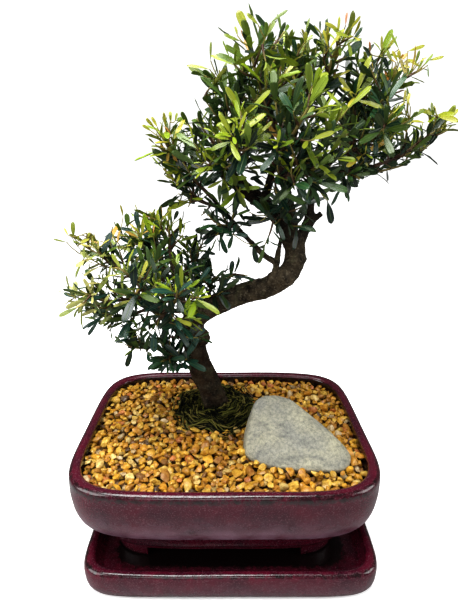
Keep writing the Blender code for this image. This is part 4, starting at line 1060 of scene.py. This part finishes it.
canopyLook = {
    "seed": 71,
    "crown": 12.0,  # the last leaves reach this far past a stem's end
    "stemStep": 3.0, "shootStep": 2.5, "loneStep": 2.0,  # between the points of a stem
    "stemRadius": (1.35, 0.7),
    "twigRadius": (0.8, 0.34),
    "loneTwigRadius": (0.34, 0.28),
    "twigsPerMm": 0.24,
    "twigs": (6, 14),  # least and most on one stem
    "twigLength": (12.0, 28.0),
    "twigTurn": 137.5, "twigSpread": (38, 64),
    "firstTwig": 0.14, "twigSpan": 0.8, "twigShift": (-0.02, 0.02),  # shares of the stem
    "twigLift": (0.05, 0.3), "twigSway": 0.08,  # shares of the twig
    "pairStep": 4.2,
    "leafLength": 17.06, "lengths": (0.55, 1.22), "widths": (0.84, 1.18),  # shares of the usual size
    "bends": (-0.26, 0.13), "folds": (0.08, 0.34), "sways": (-0.08, 0.08),
    "loneBends": (-0.18, 0.1), "loneFolds": (0.05, 0.25),
    "leafSpread": (38, 68), "endSpread": (20, 36),  # degrees from the stem, along it and at its end
    "room": 2.0, "shootRoom": 1.1, "loneRoom": 0.5,  # least distance between the middles of two leaves
    "cell": 4,  # more than the largest room
    "margin": 1.2,  # from the sides of the solids' box
    "hem": (123.0, 0.537),  # no leaf hangs below this height, which falls with y
    "youngReach": 14.0,  # how far down from a tip the leaves are still pale
    "youngFrom": 0.35,  # the age at which a leaf counts as young growth
    "outerReach": 26.0,  # how far down from a tip the leaves still get light
    "sunnyAbove": (200.0, 330.0),  # leaves are fresher green towards the second height
    "twigTones": ((0.105, 0.042, 0.020, 1), (0.040, 0.024, 0.014, 1), (0.18, 0.13, 0.08, 1)),
    "greenTwig": (0.30, 0.26, 0.06, 1),
    "lively": ("topLeft", "lowLeft", "lowTop", "farLeft"),  # sprays with the most young twigs
    "lowerHead": (12, 226),  # its leaves are rooted to the left of the first and below the second
}

leafShape = {"Stations": 9, "Width Share": 0.225, "Thickness": 0.4 * mm, "Margin Wave": 0.012}


def alongLine(line, share):
    place = min(max(share, 0.0), 1.0) * (len(line) - 1)
    k = min(int(place), len(line) - 2)
    return line[k].lerp(line[k + 1], place - k), (line[k + 1] - line[k]).normalized()


def lineLength(line):
    return sum((b - a).length for a, b in zip(line, line[1:]))


def sprayStem(name, look):
    limb, share, way, tip, _ = sprays[name]
    root = curvePoint(limbPoints(limb), share)
    last, tip = Vector(way[-1]), Vector(tip)
    end = last.lerp(tip, max(1 - look["crown"] / (tip - last).length, 0.2))
    return evenLine([root, *[Vector(p) for p in way], end], look["stemStep"])


def sideTwigs(stem, draw, look):
    least, most = look["twigs"]
    count = min(most, max(least, round(lineLength(stem) * look["twigsPerMm"])))
    turn = draw.uniform(0, 2 * math.pi)
    twigs = []
    for k in range(count):
        share = look["firstTwig"] + look["twigSpan"] * k / count + draw.uniform(*look["twigShift"])
        turn += math.radians(look["twigTurn"])
        origin, along = alongLine(stem, share)
        spread = math.radians(draw.uniform(*look["twigSpread"]))
        heading = along * math.cos(spread) + sideOf(along, turn) * math.sin(spread)
        reach = draw.uniform(*look["twigLength"]) * (1.0 - 0.45 * share)
        lift = Vector((0, 0, draw.uniform(*look["twigLift"]) * reach))
        sway = Vector((draw.uniform(-1, 1), draw.uniform(-1, 1), 0)) * reach * look["twigSway"]
        way = [origin, origin + heading * reach * 0.55 + sway, origin + heading * reach + lift]
        twigs.append(evenLine(way, look["stemStep"]))
    return twigs


# Pairs of leaves, each a quarter turn from the last. young is how far the end has young growth.
def leavesAlong(line, draw, first, young, look):
    length = lineLength(line)
    count = max(1, round(length * (1 - first) / look["pairStep"]))
    turn = draw.uniform(0, math.pi)
    up = Vector((0, 0, 1))
    low, high = look["sunnyAbove"]
    leaves = []
    for k in range(count + 1):
        share = first + (1 - first) * k / count
        turn += math.pi / 2 + draw.uniform(-0.3, 0.3)
        origin, along = alongLine(line, min(share, 1 - 0.4 / length))
        x, y, z = origin
        fromEnd = (1 - share) * length
        age = young * 1.1 - fromEnd / look["youngReach"] + draw.uniform(-0.15, 0.15)
        # high up, to the left and at the left edge of the low head the leaves get most light
        sun = max(0.0, min(1.0, (z - 0.24 * x - low) / (high - low) + max(0.0, -35 - x) / 35))
        outer = max(0.0, 1 - fromEnd / look["outerReach"])
        # Painted shade: in the middle of the upper head the leaves stay less fresh, so they come out darker.
        shadedMiddle = 0.72 if y < -15 and 225 < z < 305 else 1.0  # the middle of the upper head is darker
        age = max(0.0, min(1.0, age) if young > 0 else 0.0, draw.uniform(-0.12, 0.50) * (0.35 + sun) * outer * shadedMiddle)
        fresh = age >= look["youngFrom"]
        # Painted shade and light: a mature leaf far down from a tip gets a low tint, which the leaf skin darkens to
        # the shade tone; near a tip it can reach the sunny tone.
        inner = 0.20 if z > 215 else 0.32
        for half in (0, math.pi):
            out = sideOf(along, turn + half)
            spread = math.radians(draw.uniform(*look["endSpread" if k == count else "leafSpread"]))
            heading = (along * math.cos(spread) + out * math.sin(spread) + up * draw.uniform(0, 0.22)).normalized()
            face = along * math.sin(spread) - out * math.cos(spread) + up * 0.35
            face = (face - heading * face.dot(heading)).normalized()
            size = look["leafLength"] * draw.uniform(*look["lengths"]) * (1 - 0.12 * age) * (0.80 + 0.20 * outer)
            if k == count:
                size *= 0.55 if age > 0.3 else 0.8
            leaf = {
                "root": origin + heading * 0.3, "heading": heading, "face": face, "length": size,
                "width": draw.uniform(*look["widths"]) * (0.84 if age > 0.5 else 1.0),
                "bend": draw.uniform(*look["bends"]), "fold": draw.uniform(*look["folds"]) + 0.2 * age,
                "sway": draw.uniform(*look["sways"]), "age": age,
                "tint": draw.random() * (1.0 if fresh else inner + (1 - inner) * outer)}
            if fresh and (y < -25 and z > 230 or z < 230 and x > -45):
                leaf["tint"] = 0.42 + leaf["tint"] * 0.38  # lime here, not yellow
            leaves.append(leaf)
    return leaves


# True where the point would hide one of the gaps seen from the front.
def hidesSky(point):
    eye = Vector(cameraPlace)
    seen = eye + (point - eye) * (eye.y / (eye.y - point.y))
    return any((seen.x - x) ** 2 + (seen.z - z) ** 2 < radius * radius for x, z, radius in openSky)


# Keeps a leaf only where it stays inside the solids' box and has room of its own.
class LeafStore:
    def __init__(self, look):
        self.look, self.cells, self.leaves = look, {}, []
        margin = Vector([look["margin"]] * 3)
        self.low, self.high = Vector(cadBox[0]) / mm + margin, Vector(cadBox[1]) / mm - margin

    def offer(self, leaf, room=None, known=False):
        hem, slope = self.look["hem"]
        root, heading, face = leaf["root"], leaf["heading"], leaf["face"]
        for shrink in (1.0, 0.85, 0.7):
            length = leaf["length"] * shrink
            tip = root + heading * length + face * leaf["bend"] * length
            tip += heading.cross(face) * leaf["sway"] * length
            hangs = min(tip.z, root.z) < hem - slope * tip.y
            hangs = hangs or (not known and any(hidesSky(root.lerp(tip, share)) for share in (0.35, 0.7, 1.0)))
            if not hangs and all(self.low[k] < tip[k] < self.high[k] for k in range(3)):
                break
        else:
            return
        leaf["length"] = length
        middle = root + heading * length * 0.6
        cell = cellOf(middle, self.look["cell"])
        if any((middle - other).length < (room or self.look["room"]) for other in heldNear(self.cells, cell)):
            return
        self.cells.setdefault(cell, []).append(middle)
        self.leaves.append(leaf)


# A short curved shoot from the nearest wood to its tip, with its leaves at the end.
def standoutShoot(shoot, order, stems, held, look):
    tip, fresh, leafLength = shoot
    draw = random.Random(look["seed"] + 500 + order)
    tip = Vector(tip)
    inside = Vector((25, 20, min(tip.z - 8, 255)))  # what the shoot points away from
    goal = tip - (tip - inside).normalized() * 8  # the end of the wood
    root = min((point for line, _ in stems for point in line), key=lambda point: abs((point - goal).length - 9.0))
    side = Vector((draw.uniform(-1, 1), draw.uniform(-1, 1), 0.4))
    stem = evenLine([root, root.lerp(goal, 0.55) + side * 0.9, goal], look["shootStep"])
    own = dict(look, leafLength=leafLength * 0.96, pairStep=3.6, youngReach=40.0 if fresh > 0.2 else 10.0)
    for leaf in leavesAlong(stem, draw, 0.15, fresh, own):
        held.offer(leaf, look["shootRoom"])
    return stem, look["twigRadius"]


# One leaf where it was seen, on a twig of its own from the nearest wood.
def loneLeaf(seen, order, stems, held, look):
    root, tip, age, width, tint = seen
    draw = random.Random(look["seed"] + 900 + order)
    root, heading = Vector(root), Vector(tip) - Vector(root)
    length = heading.length
    heading.normalize()
    face = Vector((draw.uniform(-0.5, 0.5), -1.0, draw.uniform(0.2, 0.9)))
    face = (face - heading * face.dot(heading)).normalized()
    held.offer({"root": root, "heading": heading, "face": face, "length": length, "width": width,
                "bend": draw.uniform(*look["loneBends"]), "fold": draw.uniform(*look["loneFolds"]),
                "sway": draw.uniform(*look["sways"]), "tint": tint, "age": age}, look["loneRoom"], True)
    wood = min((point for line, _ in stems for point in line), key=lambda point: (point - root).length)
    middle = wood.lerp(root, 0.6) + Vector((0, 0, -0.08)) * (root - wood).length
    return evenLine([wood, middle, root + heading * 0.5], look["loneStep"]), look["loneTwigRadius"]


def growCanopy(look):
    held = LeafStore(look)
    wood = []  # spray name, line, radii at its ends, its first leafy share
    for order, name in enumerate(sprays):
        draw = random.Random(look["seed"] + order)
        stem = sprayStem(name, look)
        wood.append((name, stem, look["stemRadius"], 0.35))
        for twig in sideTwigs(stem, draw, look):
            end = next((k for k, point in enumerate(twig) if hidesSky(point)), len(twig))
            if end > 2:
                wood.append((name, twig[:end], look["twigRadius"], 0.2))
    stems = [(line, radii) for _, line, radii, _ in wood]
    lone = [loneLeaf(seen, order, stems, held, look) for order, seen in enumerate(outlineLeaves)]
    stems += [standoutShoot(shoot, order, stems, held, look) for order, shoot in enumerate(standoutShoots)]
    for order, (name, line, radii, first) in enumerate(wood):
        draw = random.Random(look["seed"] * 1000 + order)
        young = sprays[name][4]
        if radii == look["twigRadius"]:
            shares = (0.3, 0.7, 1.0, 1.0) if name.startswith(look["lively"]) else (0.0, 0.35, 0.7, 1.0)
            young *= draw.choice(shares) if young > 0.25 else 0.0
        for leaf in leavesAlong(line, draw, first, young, look):
            held.offer(leaf)
    return held.leaves, stems + lone


# A flat strip with a top and an underside, instanced on each point and then shaped by the point's own numbers.
def makeLeafTree(material, sizes):
    tree, given = startTree("leaves_" + material.name, sizes)
    grid = add(tree, "GeometryNodeMeshGrid", {
        "Size X": 1.0, "Size Y": 1.0, "Vertices X": given["Stations"], "Vertices Y": 3}).outputs["Mesh"]
    flat = partsOf(tree, add(tree, "GeometryNodeInputPosition").outputs[0])
    grid = store(tree, grid, "leafU", calc(tree, "ADD", flat["X"], 0.5))
    grid = store(tree, grid, "leafV", product(tree, flat["Y"], 2.0))
    above = store(tree, grid, "leafSide", 1.0)
    below = store(tree, add(tree, "GeometryNodeFlipFaces", {0: grid}).outputs[0], "leafSide", -1.0)
    both = add(tree, "GeometryNodeJoinGeometry")
    for sheet in (below, above):
        tree.links.new(sheet, both.inputs[0])
    u, v = attributeOf(tree, "leafU"), attributeOf(tree, "leafV")
    farAcross = calc(tree, "ABSOLUTE", v)
    ends = calc(tree, "ABSOLUTE", calc(tree, "MULTIPLY_ADD", u, 2.0, -1.0))
    rim = calc(tree, "GREATER_THAN", calc(tree, "MAXIMUM", farAcross, ends), 0.95)
    closed = add(tree, "GeometryNodeMergeByDistance", {
        "Geometry": both.outputs[0], "Selection": rim, "Distance": 0.001}).outputs[0]
    real = grownOn(tree, given["Geometry"], closed)

    length = attributeOf(tree, "leafLength")
    along = curveOf(tree, u, ((0.0, 0.0), (0.5, 0.52), (0.75, 0.81), (1.0, 1.0)))
    outline = curveOf(tree, along, (
        (0.0, 0.10), (0.07, 0.12), (0.18, 0.36), (0.35, 0.72), (0.60, 1.0), (0.80, 0.97), (0.93, 0.70), (1.0, 0.16)))
    shift = product(tree, attributeOf(tree, "leafTint"), 40.0)  # so that no two margins wave alike
    wave = calc(tree, "SINE", calc(tree, "MULTIPLY_ADD", u, 17.0, shift))
    half = product(tree, length, given["Width Share"], 0.5, attributeOf(tree, "leafWidth"), outline)
    across = product(tree, v, half)
    squared = product(tree, along, along)
    rise = product(tree, calc(tree, "ABSOLUTE", across), attributeOf(tree, "leafFold"))
    rise = calc(tree, "MULTIPLY_ADD", product(tree, attributeOf(tree, "leafBend"), length), squared, rise)
    margin = product(tree, farAcross, outline, product(tree, given["Margin Wave"], length))
    rise = calc(tree, "MULTIPLY_ADD", wave, margin, rise)
    tips = calc(tree, "SUBTRACT", 1.0, calc(tree, "POWER", ends, 6.0))
    body = product(tree, calc(tree, "SUBTRACT", 1.0, farAcross), given["Thickness"], tips, 0.5)
    rise = calc(tree, "MULTIPLY_ADD", attributeOf(tree, "leafSide"), body, rise)
    across = calc(tree, "ADD", across, product(tree, attributeOf(tree, "leafSway"), length, squared))

    heading = attributeOf(tree, "leafHeading", "FLOAT_VECTOR")
    face = attributeOf(tree, "leafFace", "FLOAT_VECTOR")
    side = vectorCalc(tree, "CROSS_PRODUCT", heading, face)
    place = vectorCalc(tree, "SCALE", heading, scale=product(tree, along, length))
    for axis, reach in ((side, across), (face, rise)):
        place = vectorCalc(tree, "ADD", place, vectorCalc(tree, "SCALE", axis, scale=reach))
    place = vectorCalc(tree, "ADD", place, attributeOf(tree, "leafRoot", "FLOAT_VECTOR"))
    smooth = smoothed(tree, movedBy(tree, real, "Position", place))
    endTree(tree, sharpened(tree, smooth, calc(tree, "GREATER_THAN", farAcross, 0.9)), material)
    return tree


leafTones = {
    "shade": (0.002, 0.009, 0.006, 1), "sunny": (0.022, 0.090, 0.020, 1), "cloud": (0.003, 0.015, 0.009, 1),
    "mature": (0.006, 0.040, 0.027, 1), "teal": (0.014, 0.070, 0.057, 1), "middling": (0.092, 0.152, 0.016, 1),
    "young": (0.44, 0.39, 0.045, 1), "lime": (0.23, 0.34, 0.012, 1), "bud": (0.52, 0.28, 0.05, 1),
    "red": (0.30, 0.085, 0.03, 1), "straw": (0.66, 0.62, 0.30, 1), "underside": (0.11, 0.18, 0.06, 1),
    "rib": (0.13, 0.20, 0.05, 1), "edge": (0.14, 0.20, 0.06, 1),
}


# The skin of all leaves, by the numbers that each leaf carries: age, tint, and the place along and across it.
def makeLeafGroup(tones):
    inputs = {"Young Tone": tones["young"], "Mature Tone": tones["mature"], "Bud Tone": tones["bud"],
              "Vein Amount": 0.4}
    outputs = {"Color": "NodeSocketColor", "Height": "NodeSocketFloat", "Gloss": "NodeSocketFloat"}
    group, given, result = startGroup("leafSkin", inputs, outputs)
    u, v, age, tint, side = [painted(group, "leaf" + key) for key in ("U", "V", "Age", "Tint", "Side")]
    across, under = calc(group, "ABSOLUTE", v), rampOf(group, side, 0.1, -0.1)
    place = placeOf(group)
    cloud = noiseOf(group, place, 300.0, 3.0)
    # Painted shade and light: a low tint darkens a mature leaf to the shade tone, a high tint brightens it to the
    # sunny tone.
    mature = turning(group, tones["shade"], tint, 0.10, 0.60, given["Mature Tone"])
    mature = turning(group, mature, tint, 0.45, 0.95, tones["sunny"])
    mature = blendOf(group, product(group, cloud, 0.45), mature, tones["cloud"])
    youth = turning(group, given["Young Tone"], tint, 0.0, 0.8, tones["lime"])
    youth = turning(group, youth, tint, 0.82, 0.90, given["Bud Tone"])
    youth = turning(group, youth, tint, 0.94, 0.98, tones["red"])
    middling = turning(group, mature, age, 0.08, 0.35, tones["middling"])
    # the low shoots on the left are paler
    spot = partsOf(group, place)
    left, low = rampOf(group, spot["X"], -0.045, -0.085), rampOf(group, spot["Z"], 0.225, 0.205)
    youth = blendOf(group, product(group, left, low, 0.55), youth, tones["straw"])
    colour = turning(group, middling, age, 0.32, 0.7, youth)
    pale = blendOf(group, 0.5, colour, tones["underside"])
    colour = blendOf(group, product(group, under, 0.6), colour, pale)
    rib, edge = rampOf(group, across, 0.17, 0.03), rampOf(group, across, 0.82, 1.0)
    colour = blendOf(group, product(group, rib, given["Vein Amount"]), colour, tones["rib"])
    group.links.new(blendOf(group, product(group, edge, 0.2), colour, tones["edge"]), result["Color"])
    # side veins run forward from the rib
    slant = calc(group, "MULTIPLY_ADD", across, -0.12, u)
    veins = product(group, calc(group, "SINE", product(group, slant, 88.0)), 0.25)
    group.links.new(calc(group, "MULTIPLY_ADD", rib, -1.6, veins), result["Height"])
    gloss = calc(group, "MULTIPLY_ADD", cloud, 0.18, 0.24)
    group.links.new(calc(group, "MULTIPLY_ADD", under, 0.22, gloss), result["Gloss"])
    return group


leafGroup = makeLeafGroup(leafTones)


def makeLeafMaterial(name, veinAmount, mature="mature"):
    values = {"Specular IOR Level": 0.38, "Coat Weight": 0.20, "Coat Roughness": 0.28}
    material, tree, inputs = startMaterial(name, values)
    skin = placeGroup(tree, leafGroup, {
        "Young Tone": leafTones["young"], "Mature Tone": leafTones[mature], "Bud Tone": leafTones["bud"],
        "Vein Amount": veinAmount})
    tree.links.new(skin["Gloss"], inputs["Roughness"])
    finishWith(tree, inputs, skin["Color"], skin["Height"], 0.35, 0.00025)
    return material


def makeLeafPiece(name, leaves, material, nodes):
    piece = newPiece(name, [leaf["root"] for leaf in leaves], [])
    for key in leaves[0]:
        values = np.array([leaf[key] for leaf in leaves]) * (mm if key in ("root", "length") else 1.0)
        setAttribute(piece.data, "leaf" + key.capitalize(), values)
    runTree(piece, makeLeafTree(material, leafShape), leafShape)
    shaping = ("Root", "Heading", "Face", "Length", "Width", "Bend", "Fold", "Sway")
    removeAttributes(piece.data, ["leaf" + key for key in shaping])
    handOver(piece, nodes)


def makeTwigMaterial(look):
    material, tree, inputs = startMaterial("twigBark", {"Roughness": 0.6})
    mottle = mottleOf(tree, look["twigTones"], 150.0, 900.0, 0.3)
    green = blendOf(tree, painted(tree, "fresh"), mottle["Color"], look["greenTwig"])
    finishWith(tree, inputs, green, mottle["Height"], 0.4, 0.0003)
    return material


# Tubes along the lines, with their girth from each point.
def makeTwigs(stems, material, nodes):
    points, edges, girth, fresh = [], [], [], []
    for line, (thick, thin) in stems:
        base, last = len(points), len(line) - 1
        points += line
        edges += [(base + k, base + k + 1) for k in range(last)]
        shares = [k / last for k in range(last + 1)]
        girth += [(thick + (thin - thick) * s) * mm for s in shares]
        fresh += [max(0.0, s - 0.4) * 1.5 if thick > 0.4 else 0.85 for s in shares]
    piece = growTubes("twigs", points, edges, girth, "fresh", fresh, 7, material)
    handOver(piece, nodes)


def inLowerHead(leaf, look):
    x, z = look["lowerHead"]
    return leaf["root"].x <= x and leaf["root"].z <= z


print("canopy")
leaves, stems = growCanopy(canopyLook)
mature = [leaf for leaf in leaves if leaf["age"] < canopyLook["youngFrom"]]
young = [leaf for leaf in leaves if leaf["age"] >= canopyLook["youngFrom"]]
print("  leaves:", len(mature), "mature,", len(young), "young; stems:", len(stems))
upper = [leaf for leaf in mature if not inLowerHead(leaf, canopyLook)]
lower = [leaf for leaf in mature if inLowerHead(leaf, canopyLook)]
sprayNodes = sorted(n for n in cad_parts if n.startswith("spray_"))
shootNodes = sorted(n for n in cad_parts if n.startswith("shoot_"))
lowNodes = [n for n in sprayNodes if n.startswith("spray_low")]
highNodes = [n for n in sprayNodes if n not in lowNodes]
makeLeafPiece("upperLeaves", upper, makeLeafMaterial("matureLeaf", 0.35), highNodes)
makeLeafPiece("lowerLeaves", lower, makeLeafMaterial("tealLeaf", 0.35, "teal"), lowNodes)
makeLeafPiece("youngLeaves", young, makeLeafMaterial("youngLeaf", 0.2), shootNodes)
makeTwigs(stems, makeTwigMaterial(canopyLook), sprayNodes)


def makeMossMaterial(look):
    material, tree, inputs = startMaterial("darkMoss", {"Roughness": 0.6, "Specular IOR Level": 0.12})
    tint = painted(tree, "strand")
    mottle = mottleOf(tree, look["tones"], 120.0, 700.0, 0.4)
    colour = turning(tree, mottle["Color"], tint, 0.64, 0.95, look["green"])
    tree.links.new(turning(tree, colour, tint, 0.95, 0.97, look["straw"]), inputs["Base Color"])
    return material


def mossHeight(x, y, look):
    away = math.hypot(x - look["centre"][0], y - look["centre"][1]) / look["radius"]
    swell = max(0.0, 1 - away ** 2.2)
    return bedLook["gravelTop"] - 2.4 + (look["height"] + 1.6) * swell ** 0.55


def mossEdge(angle):
    return 1 + 0.07 * math.sin(5 * angle + 1) + 0.05 * math.sin(8 * angle)


def makeMossMound(look, material):
    (cx, cy), rings, around = look["centre"], look["rings"], look["around"]
    points = []
    for ring in range(rings + 1):
        for k in range(around):
            angle = 2 * math.pi * k / around
            reach = look["radius"] * (1 - 0.9 * ring / rings) * mossEdge(angle)
            x, y = cx + reach * math.cos(angle), cy + reach * math.sin(angle)
            points.append((x, y, mossHeight(x, y, look) - 1.0 + 0.5 * math.sin(3 * x) * math.sin(2.6 * y)))
    foot = [(x, y, look["foot"]) for x, y, _ in points[:around]]
    mound = newPiece("mossMound", foot + points, loftFaces(rings + 2, around))
    setAttribute(mound.data, "strand", [0.2] * len(mound.data.vertices))
    handOver(mound, ["moss"], material)


# Long strands lie round the trunk, and short ones stand out.
def makeMossStrands(look, material):
    draw = random.Random(look["seed"])
    (cx, cy), steps = look["centre"], look["steps"]
    points, edges, girth, tint = [], [], [], []
    for _ in range(look["fibres"]):
        angle = draw.uniform(0, 2 * math.pi)
        away = look["radius"] * math.sqrt(draw.uniform(0.06, 1.0)) * (1.18 if draw.random() < 0.12 else 0.97)
        turnBy = draw.choice((-1, 1)) * draw.uniform(*look["turn"])
        drift = draw.uniform(*look["drift"])
        lift = draw.uniform(*look["highLift" if draw.random() < look["highShare"] else "lowLift"])
        shade = draw.random()
        thick = draw.uniform(*look["fibreRadius"])
        if lift > 1.2:
            shade = min(shade + 0.18, 0.96)  # the ones on top are greener
        base = len(points)
        edges += [(base + k, base + k + 1) for k in range(steps)]
        for k in range(steps + 1):
            share = k / steps
            a = angle + turnBy * share
            reach = max(away + drift * share + 1.4 * math.sin(5 * share + angle), look["bare"])
            reach = min(reach, look["radius"] * look["overhang"]) * mossEdge(a)
            x, y = cx + reach * math.cos(a), cy + reach * math.sin(a)
            z = mossHeight(x, y, look) - 0.9 + lift * math.sin(math.pi * share) + draw.uniform(*look["ripple"])
            points.append((x, y, max(z, bedLook["gravelTop"] - 1.2)))
            girth.append(thick * (1 - 0.7 * share) * mm)
            tint.append(shade)
    piece = growTubes("mossStrands", points, edges, girth, "strand", tint, 4, material)
    handOver(piece, ["moss"])


print("moss")
mossMaterial = makeMossMaterial(mossLook)
makeMossMound(mossLook, mossMaterial)
makeMossStrands(mossLook, mossMaterial)


studio = {
    "camera": cameraPlace, "pitch": 19.8, "lens": 26.0, "sensor": 36.0, "shiftX": 0.0041,
    "backdrop": 1.0, "ambient": 0.13,
    "floorReach": 3000, "floorHeight": -0.05, "floorSeen": 0.96, "floorBounce": 0.34,
    "fadeFrom": 0.108, "fadeTo": 0.165,  # the floor turns white with distance, in metres
    "lights": (  # name, place, aim, size, power
        ("above", (-90, -110, 760), (0, 10, 150), 460, 6.6),
        ("left", (-640, -380, 460), (0, 0, 150), 560, 4.0),
        ("right", (640, -240, 400), (0, 0, 150), 400, 2.0),
        ("front", (-60, -760, 400), (0, 0, 100), 360, 0.8),
    ),
}


def makeFloor(look):
    material, tree, inputs = startMaterial("paleFloor", {"Roughness": 0.8, "Emission Color": (1, 1, 1, 1)})
    seen = add(tree, "ShaderNodeLightPath").outputs["Is Camera Ray"]
    bounce, pale = [(look[key],) * 3 + (1,) for key in ("floorBounce", "floorSeen")]
    tree.links.new(blendOf(tree, seen, bounce, pale), inputs["Base Color"])
    away = vectorCalc(tree, "LENGTH", vectorCalc(tree, "MULTIPLY", placeOf(tree), (1.25, 1.0, 1.0)))
    white = rampOf(tree, away, look["fadeFrom"], look["fadeTo"])
    tree.links.new(product(tree, white, seen), inputs["Emission Strength"])
    far, z = look["floorReach"], look["floorHeight"]
    floor = newPiece("floor", [(-far, -far, z), (far, -far, z), (far, far, z), (-far, far, z)], [(0, 1, 2, 3)])
    floor.data.materials.append(material)


def makeBackdrop(look):
    world = bpy.data.worlds.new("studio")
    bpy.context.scene.world = world
    world.use_nodes = True
    tree = world.node_tree
    back = tree.nodes["Background"].inputs
    back[0].default_value = (1, 1, 1, 1)
    seen = add(tree, "ShaderNodeLightPath").outputs["Is Camera Ray"]
    power = calc(tree, "MULTIPLY_ADD", seen, look["backdrop"] - look["ambient"], look["ambient"])
    tree.links.new(power, back[1])
    view = bpy.context.scene.view_settings
    view.view_transform, view.look = "Standard", "Medium High Contrast"


def makeLights(look):
    for name, place, aim, size, power in look["lights"]:
        data = bpy.data.lights.new(name, "AREA")
        data.shape = "SQUARE"
        data.size = size * mm
        data.energy = power
        light = putInScene(name, data)
        light.location = Vector(place) * mm
        light.rotation_euler = (Vector(aim) - Vector(place)).to_track_quat("-Z", "Y").to_euler()


def makeCamera(look):
    data = bpy.data.cameras.new("camera")
    data.lens = look["lens"]
    data.sensor_width = look["sensor"]
    data.shift_x = look["shiftX"]
    data.clip_start = 0.01
    camera = putInScene("camera", data)
    camera.location = Vector(look["camera"]) * mm
    camera.rotation_euler = (math.radians(90 - look["pitch"]), 0, 0)
    bpy.context.scene.camera = camera


print("studio")
makeFloor(studio)
makeBackdrop(studio)
makeLights(studio)
makeCamera(studio)
